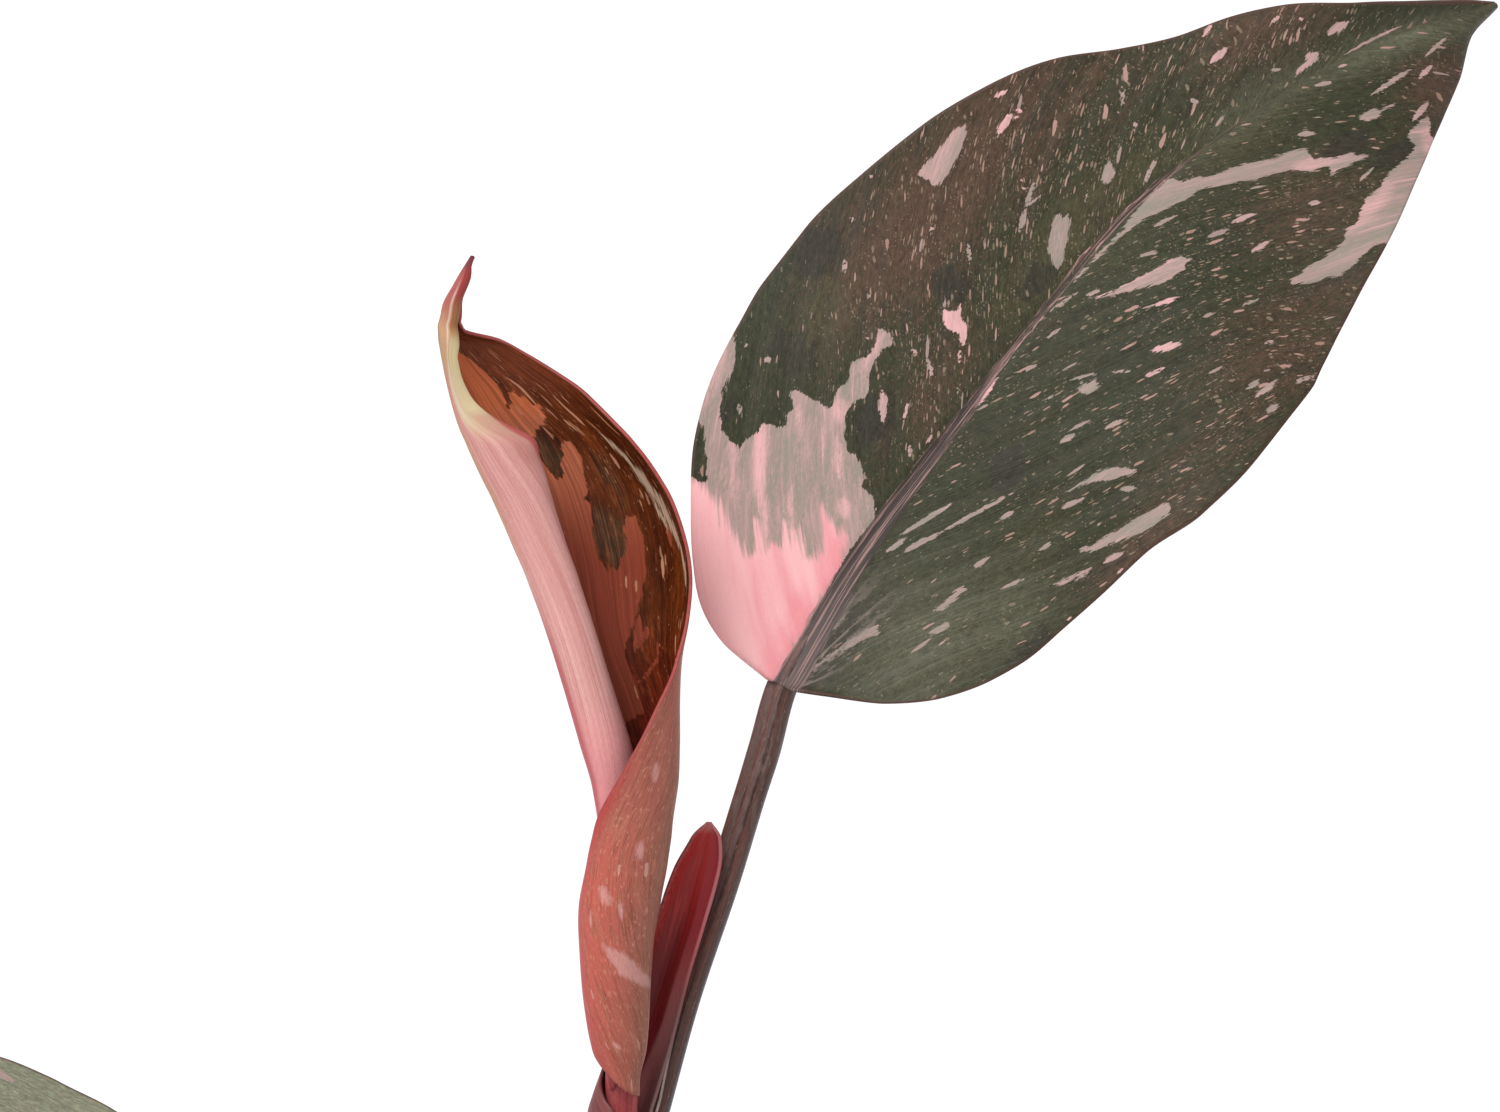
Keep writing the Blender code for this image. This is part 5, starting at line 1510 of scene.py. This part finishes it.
def stem_finish():
    """Olive and brown skin with corky rings at the nodes."""
    f = Finish("stem_skin_fine", 0.5, 0.35)
    run = f.layer("run")[0]
    bands = f.clouds(run, (0.3, 0.3, 0.05), 4, 0.6)
    colour = f.blend(f.step(bands, 0.38, 0.62), (0.085, 0.075, 0.032), (0.14, 0.055, 0.035))
    streaks = f.step(f.clouds(run, (1.2, 1.2, 0.10), 3), 0.58, 0.68)
    colour = f.over(colour, (0.32, 0.16, 0.12), streaks, 0.5)
    cork = f.step(f.clouds(run, (0.8, 0.8, 1.6), 4, 0.7), 0.55, 0.70)
    colour = f.over(colour, (0.20, 0.13, 0.08), cork, 0.5)
    fine = f.clouds(run, (3, 3, 2), 3, 0.7)
    colour = f.shaded(colour, f.scaled(fine, 0.8, 0.6))
    return f.wear(colour, f.plus(f.times(cork, 0.15), f.times(fine, 0.12)))


def root_finish():
    """Pale brown, papery skin of an air root."""
    f = Finish("air_root_skin", 0.75, 0.2)
    run = f.layer("run")[0]
    bands = f.clouds(run, (0.6, 0.6, 0.35), 4, 0.6)
    colour = f.blend(f.step(bands, 0.35, 0.65), (0.20, 0.115, 0.06), (0.33, 0.22, 0.12))
    fine = f.clouds(run, (3, 3, 3), 3, 0.7)
    colour = f.shaded(colour, f.scaled(fine, 0.8, 0.6))
    return f.wear(colour, f.times(fine, 0.2))


def stem_radius(t, turn):
    """Swollen at the nodes, with a narrow ring at each, and rounded off at the top."""
    height = smooth(measured(STEM_LINE), t)[:, 2] / MM
    swelling = sum(NODE_SWELL * bell(height - node, NODE_HALF) for node in NODE_HEIGHTS)
    rings = sum(SCAR_DEPTH * bell(height - node - 1.0, SCAR_HALF) for node in NODE_HEIGHTS)
    top = np.minimum(1.0, 0.72 + 0.28 * np.sqrt(np.maximum(0.0, (STEM_TOP - height) / 3)))
    return STEM_RADIUS * (1 + swelling - rings) * top


stem_skin = stem_finish()
root_skin = root_finish()
bm = tube(STEM_LINE, stem_radius, around=48, along=420)
finished(bm, "stem_fine", [stem_skin], ["stem"])
for i, line in enumerate(AIR_ROOTS):
    def root_radius(t, turn):
        rounded = np.sqrt(np.clip((1 - t) / 0.06, 0, 1))
        knobs = 0.06 * np.sin(t * 40 + i) * np.sin(turn * 2 + t * 9)
        return ROOT_RADIUS * (1.15 - 0.55 * t**2) * (1 + knobs) * rounded

    bm = tube(line, root_radius, around=16, along=60)
    finished(bm, "air_root_%d" % (i + 1), [root_skin])

# %% [markdown]
# ## The pot
#
# A clay pot is thrown or pressed on a turning wheel, so it is made here the same way: half of its
# section is drawn once and spun round the middle. Corners are short arcs, because fired clay never
# has a knife edge. Four drainage holes are cut through its floor.

# %% Spinning the pot
POT_HEIGHT, POT_TOP, POT_FOOT = 112, 60, 42
POT_WALL, POT_FLOOR = 4.5, 6
RIM_HEIGHT, RIM_STEP, RIM_TAPER, RIM_SLOPE, EDGE = 24, 3, 0.8, 0.4, 1.6
DRAIN_RADIUS, DRAIN_CIRCLE, DRAIN_COUNT = 4.5, 24, 4
ODD_DIRECTION = Vector((0.7315, 0.5127, 0.4493))  # no two points of a pot lie equally far along it
POT_STRETCH, POT_STEPS = 3.0, 160  # the longest stretch of the section in mm, and the steps round


def pot_outer(height):
    """The radius of the pot's body at a height, in mm."""
    return POT_FOOT + (POT_TOP - RIM_STEP - POT_FOOT) / POT_HEIGHT * height


def rounded(points, radius, steps=5):
    """A line of (radius, height) points with each inner corner turned into a short arc."""
    result = [points[0]]
    for before, corner, after in zip(points, points[1:], points[2:]):
        before, corner, after = Vector(before), Vector(corner), Vector(after)
        reach = min(radius, (before - corner).length * 0.45, (after - corner).length * 0.45)
        start = corner + (before - corner).normalized() * reach
        end = corner + (after - corner).normalized() * reach
        for i in range(steps + 1):
            u = i / steps
            result.append(tuple(start * (1 - u) ** 2 + corner * 2 * u * (1 - u) + end * u**2))
    return result + [points[-1]]


def spun(profile, steps):
    """A closed solid turned from a section of (radius, height) points in mm."""
    bm = bmesh.new()
    verts = [bm.verts.new((max(radius, 0) * MM, 0, height * MM)) for radius, height in profile]
    edges = [bm.edges.new(pair) for pair in zip(verts, verts[1:])]
    bmesh.ops.spin(
        bm, geom=verts + edges, cent=(0, 0, 0), axis=(0, 0, 1), dvec=(0, 0, 0),
        angle=TURN, steps=steps, use_merge=True, use_duplicate=False,
    )
    bmesh.ops.remove_doubles(bm, verts=bm.verts, dist=0.00001)
    bmesh.ops.recalc_face_normals(bm, faces=bm.faces)
    # spin leaves its points in an order of its own on each run, so they are put in a fixed one
    bm.verts.sort(key=lambda vert: vert.co.dot(ODD_DIRECTION))
    bm.edges.sort(key=lambda edge: (edge.verts[0].co + edge.verts[1].co).dot(ODD_DIRECTION))
    bm.faces.sort(key=lambda face: face.calc_center_median().dot(ODD_DIRECTION))
    return bm


def subdivided(points, longest):
    """A line with points added, so that no stretch is longer than the length given."""
    result = []
    for start, end in zip(points, points[1:]):
        count = max(1, math.ceil(math.dist(start, end) / longest))
        first, way = np.array(start), np.array(end) - np.array(start)
        result += [tuple(first + way * i / count) for i in range(count)]
    return result + [points[-1]]


rim = POT_HEIGHT - RIM_HEIGHT
inside = pot_outer(POT_HEIGHT) - POT_WALL
section = [
    (0, POT_FLOOR), (pot_outer(POT_FLOOR) - POT_WALL, POT_FLOOR), (inside, POT_HEIGHT), (POT_TOP, POT_HEIGHT),
    (POT_TOP - RIM_TAPER, rim), (pot_outer(rim), rim - RIM_SLOPE), (pot_outer(0), 0), (0, 0),
]
bm = spun(subdivided(rounded(section, EDGE), POT_STRETCH), POT_STEPS)
drain_turns = [TURN * (i + 0.5) / DRAIN_COUNT for i in range(DRAIN_COUNT)]
drain_places = [Vector((math.cos(turn), math.sin(turn), 0)) * DRAIN_CIRCLE * MM for turn in drain_turns]
for i, place in enumerate(drain_places):
    print("Drainage hole", i + 1, "at", [round(v / MM) for v in place])


# %% The clay's finish
def clay_finish():
    """Matte fired clay: warm and cool drifts, turning lines, pale lime bloom and a fine grain."""
    f = Finish("fired_clay", 0.86, 0.25)
    place = f.place()
    drift = f.clouds(place, (0.03, 0.03, 0.045), 4, 0.55)
    colour = f.blend(f.step(drift, 0.35, 0.65), (0.42, 0.165, 0.085), (0.52, 0.235, 0.13))
    turning = f.clouds(place, (0.012, 0.012, 0.9), 3, 0.6)
    colour = f.shaded(colour, f.scaled(turning, 0.30, 0.85))
    grain = f.clouds(place, (1.9, 1.9, 1.9), 4, 0.75)
    colour = f.shaded(colour, f.scaled(grain, 0.35, 0.83))
    specks = f.step(f.clouds(place, (0.75, 0.75, 0.75), 2), 0.70, 0.76)
    colour = f.over(colour, (0.20, 0.075, 0.04), specks, 0.5)
    bloom = f.step(f.clouds(place, (0.035, 0.035, 0.06), 5, 0.65), 0.56, 0.74)
    colour = f.over(colour, (0.66, 0.50, 0.40), bloom, 0.42)
    height = f.plus(f.times(turning, 0.35), f.times(grain, 0.14))
    return f.wear(colour, height, f.scaled(grain, 0.15, 0.78))


def cut_holes(piece):
    """Cut the drainage holes with cylinders, which are then removed."""
    cutters = []
    for i, place in enumerate(drain_places):
        cutter = bmesh.new()
        bmesh.ops.create_cone(
            cutter, cap_ends=True, segments=40, radius1=DRAIN_RADIUS * MM, radius2=DRAIN_RADIUS * MM,
            depth=4 * POT_FLOOR * MM, matrix=Matrix.Translation(place),
        )
        mesh = bpy.data.meshes.new("drain_cutter")
        cutter.to_mesh(mesh)
        cutter.free()
        cutters.append(bpy.data.objects.new("drain_cutter_%d" % i, mesh))
        bpy.context.scene.collection.objects.link(cutters[-1])
        hole = piece.modifiers.new("Hole", "BOOLEAN")
        hole.operation = "DIFFERENCE"
        hole.solver = "EXACT"
        hole.object = cutters[-1]
    graph = bpy.context.evaluated_depsgraph_get()
    cut = bpy.data.meshes.new_from_object(piece.evaluated_get(graph))
    piece.modifiers.clear()
    piece.data = cut
    for cutter in cutters:
        bpy.data.objects.remove(cutter)


clay = clay_finish()
pot = finished(bm, "pot_fine", [clay], ["pot"])
cut_holes(pot)
print("The pot with its holes has", len(pot.data.polygons), "faces")

# %% [markdown]
# ## The potting mix
#
# Philodendrons grow in a loose mix of peat, bark and perlite. A flat brown disc would look dead, so
# the surface is raised and lowered by three sizes of noise, and a few hundred chips of bark and
# grains of perlite lie half sunk in it. Each chip has only a few faces, because there are many.

# %% The mix and its surface
SOIL_TOP, SOIL_LUMP, SOIL_RELIEF = 101, 11, 2.5
COARSE_CRUMB, FINE_CRUMB = 2.1, 0.9
SOIL_GAP = 0.48  # mm that the mix stays clear of the pot's wall
SOIL_LIFT, SOIL_CORNER = 0.3, 2.6  # mm above the pot's floor, and mm that the lower edge is cut back by
SOIL_RINGS, SOIL_STEPS = 66, 200
soil_edge = pot_outer(SOIL_TOP) - POT_WALL - SOIL_GAP
soil_floor = pot_outer(POT_FLOOR) - POT_WALL - SOIL_GAP


def soil_height(x, y):
    """How high the mix's surface lies at a place, in mm."""
    away = math.hypot(x, y) / soil_edge
    lump = noise.noise(Vector((x / SOIL_LUMP, y / SOIL_LUMP, 0.3 / SOIL_LUMP)))
    crumbs = noise.noise(Vector((x / COARSE_CRUMB, y / COARSE_CRUMB, 4))) * 0.55
    crumbs += noise.noise(Vector((x / FINE_CRUMB, y / FINE_CRUMB, 9))) * 0.25
    return SOIL_TOP + SOIL_RELIEF * (1 - 0.7 * away**6) * lump + 1.5 * (1 - away**2) + crumbs


def soil_finish():
    """Damp, crumbly peat."""
    f = Finish("damp_potting_mix", 0.92, 0.2)
    place = f.place()
    lumps = f.clouds(place, (0.35, 0.35, 0.35), 5, 0.7)
    colour = f.blend(f.step(lumps, 0.35, 0.65), (0.018, 0.011, 0.007), (0.060, 0.036, 0.022))
    fibres = f.step(f.clouds(place, (1.8, 0.35, 1.8), 3, 0.7), 0.60, 0.70)
    colour = f.over(colour, (0.12, 0.075, 0.042), fibres, 0.5)
    crumbs = f.clouds(place, (1.4, 1.4, 1.4), 4, 0.8)
    return f.wear(colour, f.plus(f.times(crumbs, 0.8), f.times(lumps, 0.8)))


section = [(soil_edge * i / SOIL_RINGS, SOIL_TOP) for i in range(SOIL_RINGS + 1)]
soil_foot = POT_FLOOR + SOIL_LIFT
section += [(soil_floor, soil_foot + SOIL_CORNER), (soil_floor - SOIL_CORNER, soil_foot), (0, soil_foot)]
bm = spun(section, SOIL_STEPS)
for vert in bm.verts:
    if vert.co.z > (SOIL_TOP - 0.1) * MM:
        vert.co.z = soil_height(vert.co.x / MM, vert.co.y / MM) * MM
mix = soil_finish()
finished(bm, "soil_fine", [mix], ["soil"])


# %% Bark and perlite
CHIP_REACH = 0.955  # the share of the mix's radius that chips lie within
STEM_CLEAR = 6  # mm from the stem's middle that stay free of chips
CHIP_TILT = 0.5


def chip_finish(name, dark, light, roughness):
    """A chip's skin: two tones with a coarse grain."""
    f = Finish(name, roughness, 0.25)
    place = f.place()
    grain = f.clouds(place, (0.5, 0.5, 1.3), 4, 0.7)
    colour = f.blend(f.step(grain, 0.35, 0.65), dark, light)
    return f.wear(colour, f.times(f.clouds(place, (1.6, 1.6, 3.2), 3, 0.7), 0.4))


def scatter(name, finish, count, seed, sizes, flatness, roughness):
    """Chips or grains half sunk in the mix, as one piece."""
    draw = random.Random(seed)
    bm = bmesh.new()
    for _ in range(count):
        away, turn = soil_edge * CHIP_REACH * math.sqrt(draw.random()), draw.random() * TURN
        x, y = away * math.cos(turn), away * math.sin(turn)
        if math.hypot(x - STEM_LINE[0][0], y - STEM_LINE[0][1]) < STEM_CLEAR:
            continue
        size = draw.uniform(*sizes)
        made = bmesh.ops.create_icosphere(bm, subdivisions=1, radius=size / 2 * MM)["verts"]
        for vert in made:
            vert.co *= 1 + draw.uniform(-roughness, roughness)
        shape = Matrix.Diagonal((1, draw.uniform(0.45, 0.9), flatness * draw.uniform(0.7, 1.3), 1))
        tilt = Matrix.Rotation(draw.uniform(-CHIP_TILT, CHIP_TILT), 4, "X")
        tilt = tilt @ Matrix.Rotation(draw.uniform(-CHIP_TILT, CHIP_TILT), 4, "Y")
        lift = soil_height(x, y) + size * flatness * 0.15
        spot = Matrix.Translation((x * MM, y * MM, lift * MM)) @ Matrix.Rotation(draw.random() * TURN, 4, "Z")
        bmesh.ops.transform(bm, matrix=spot @ tilt @ shape, verts=made)
    return finished(bm, name, [finish])


bark = chip_finish("bark_chips_skin", (0.055, 0.028, 0.016), (0.17, 0.095, 0.052), 0.85)
perlite = chip_finish("perlite_skin", (0.52, 0.50, 0.46), (0.74, 0.72, 0.68), 0.9)
scatter("bark_chips", bark, count=420, seed=5, sizes=(2.2, 7.0), flatness=0.35, roughness=0.28)
scatter("perlite_grains", perlite, count=130, seed=6, sizes=(1.0, 2.8), flatness=0.8, roughness=0.2)

# %% [markdown]
# ## Floor, light and camera
#
# The plant stands on a plain white floor under soft studio light: an even bright room, and one broad
# lamp from the upper left in front. A long lens looks slightly down at the top of the plant.

# %% The floor
FLOOR_RADIUS = 40  # m, so that its far edge stays out of sight
FLOOR_DROP = 0.2 * MM  # the pot's foot and the floor must not share one plane
bm = bmesh.new()
bmesh.ops.create_circle(bm, cap_ends=True, segments=96, radius=FLOOR_RADIUS)
bmesh.ops.translate(bm, verts=bm.verts, vec=(0, 0, -FLOOR_DROP))
floor_mesh = bpy.data.meshes.new("floor")
bm.to_mesh(floor_mesh)
bm.free()
paper = Finish("white_floor", 0.9, 0.1)
paper.shader.inputs["Base Color"].default_value = (0.93, 0.93, 0.93, 1)
floor_mesh.materials.append(paper.material)
floor = bpy.data.objects.new("floor", floor_mesh)
bpy.context.scene.collection.objects.link(floor)
floor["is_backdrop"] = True
print("The floor is", 2 * FLOOR_RADIUS, "m wide")

# %% The room and the lamp
ROOM_LIGHT = 0.55
world = bpy.data.worlds.new("bright_room")
bpy.context.scene.world = world
world.use_nodes = True
links = world.node_tree.links
room = world.node_tree.nodes["Background"]
room.inputs["Color"].default_value = (1, 1, 1, 1)
room.inputs["Strength"].default_value = ROOM_LIGHT
seen = world.node_tree.nodes.new("ShaderNodeBackground")
seen.inputs["Strength"].default_value = 1.0
rays = world.node_tree.nodes.new("ShaderNodeLightPath")
either = world.node_tree.nodes.new("ShaderNodeMixShader")
links.new(rays.outputs["Is Camera Ray"], either.inputs[0])
links.new(room.outputs[0], either.inputs[1])
links.new(seen.outputs[0], either.inputs[2])
links.new(either.outputs[0], world.node_tree.nodes["World Output"].inputs["Surface"])


def lamp(name, strength, wide, azimuth, elevation):
    """A sun lamp that shines from that direction. Azimuth 0 is in front, and 90 to the right."""
    light = bpy.data.lights.new(name, "SUN")
    light.energy = strength
    light.angle = math.radians(wide)
    result = bpy.data.objects.new(name, light)
    a, e = math.radians(azimuth), math.radians(elevation)
    towards = Vector((math.sin(a) * math.cos(e), -math.cos(a) * math.cos(e), math.sin(e)))
    result.rotation_mode = "QUATERNION"
    result.rotation_quaternion = towards.to_track_quat("Z", "Y")
    bpy.context.scene.collection.objects.link(result)


lamp("broad_lamp", strength=2.6, wide=40, azimuth=-35, elevation=50)
print("The room gives a light of", ROOM_LIGHT, "and a broad lamp the rest")

# %% The camera
DISTANCE, ELEVATION = 1.2, 5
TARGET = Vector((0.0155, 0, 0.2985))
PIXEL = 0.141 * MM  # what one pixel of the photo covers at the target
FRAME_WIDTH = 1500
back = Vector((0, -math.cos(math.radians(ELEVATION)), math.sin(math.radians(ELEVATION))))
view = bpy.data.cameras.new("camera")
view.sensor_width = 36
view.lens = view.sensor_width * DISTANCE / (PIXEL * FRAME_WIDTH)
view.clip_start, view.clip_end = 0.05, 200
camera = bpy.data.objects.new("camera", view)
camera.location = TARGET + back * DISTANCE
camera.rotation_euler = back.to_track_quat("Z", "Y").to_euler()
bpy.context.scene.collection.objects.link(camera)
bpy.context.scene.camera = camera
bpy.context.scene.view_settings.view_transform = "Standard"
print("The lens is", round(view.lens, 1), "mm long")

# %% [markdown]
# ## Sizes, and the end
#
# The dressed plant must fit the measured frame, so both boxes are written down to be compared.

# %% Sizes
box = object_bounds()
for name, (low, high) in (("frame", cad_box), ("dressed", box)):
    print(name, [round((b - a) / MM, 1) for a, b in zip(low, high)], "mm")
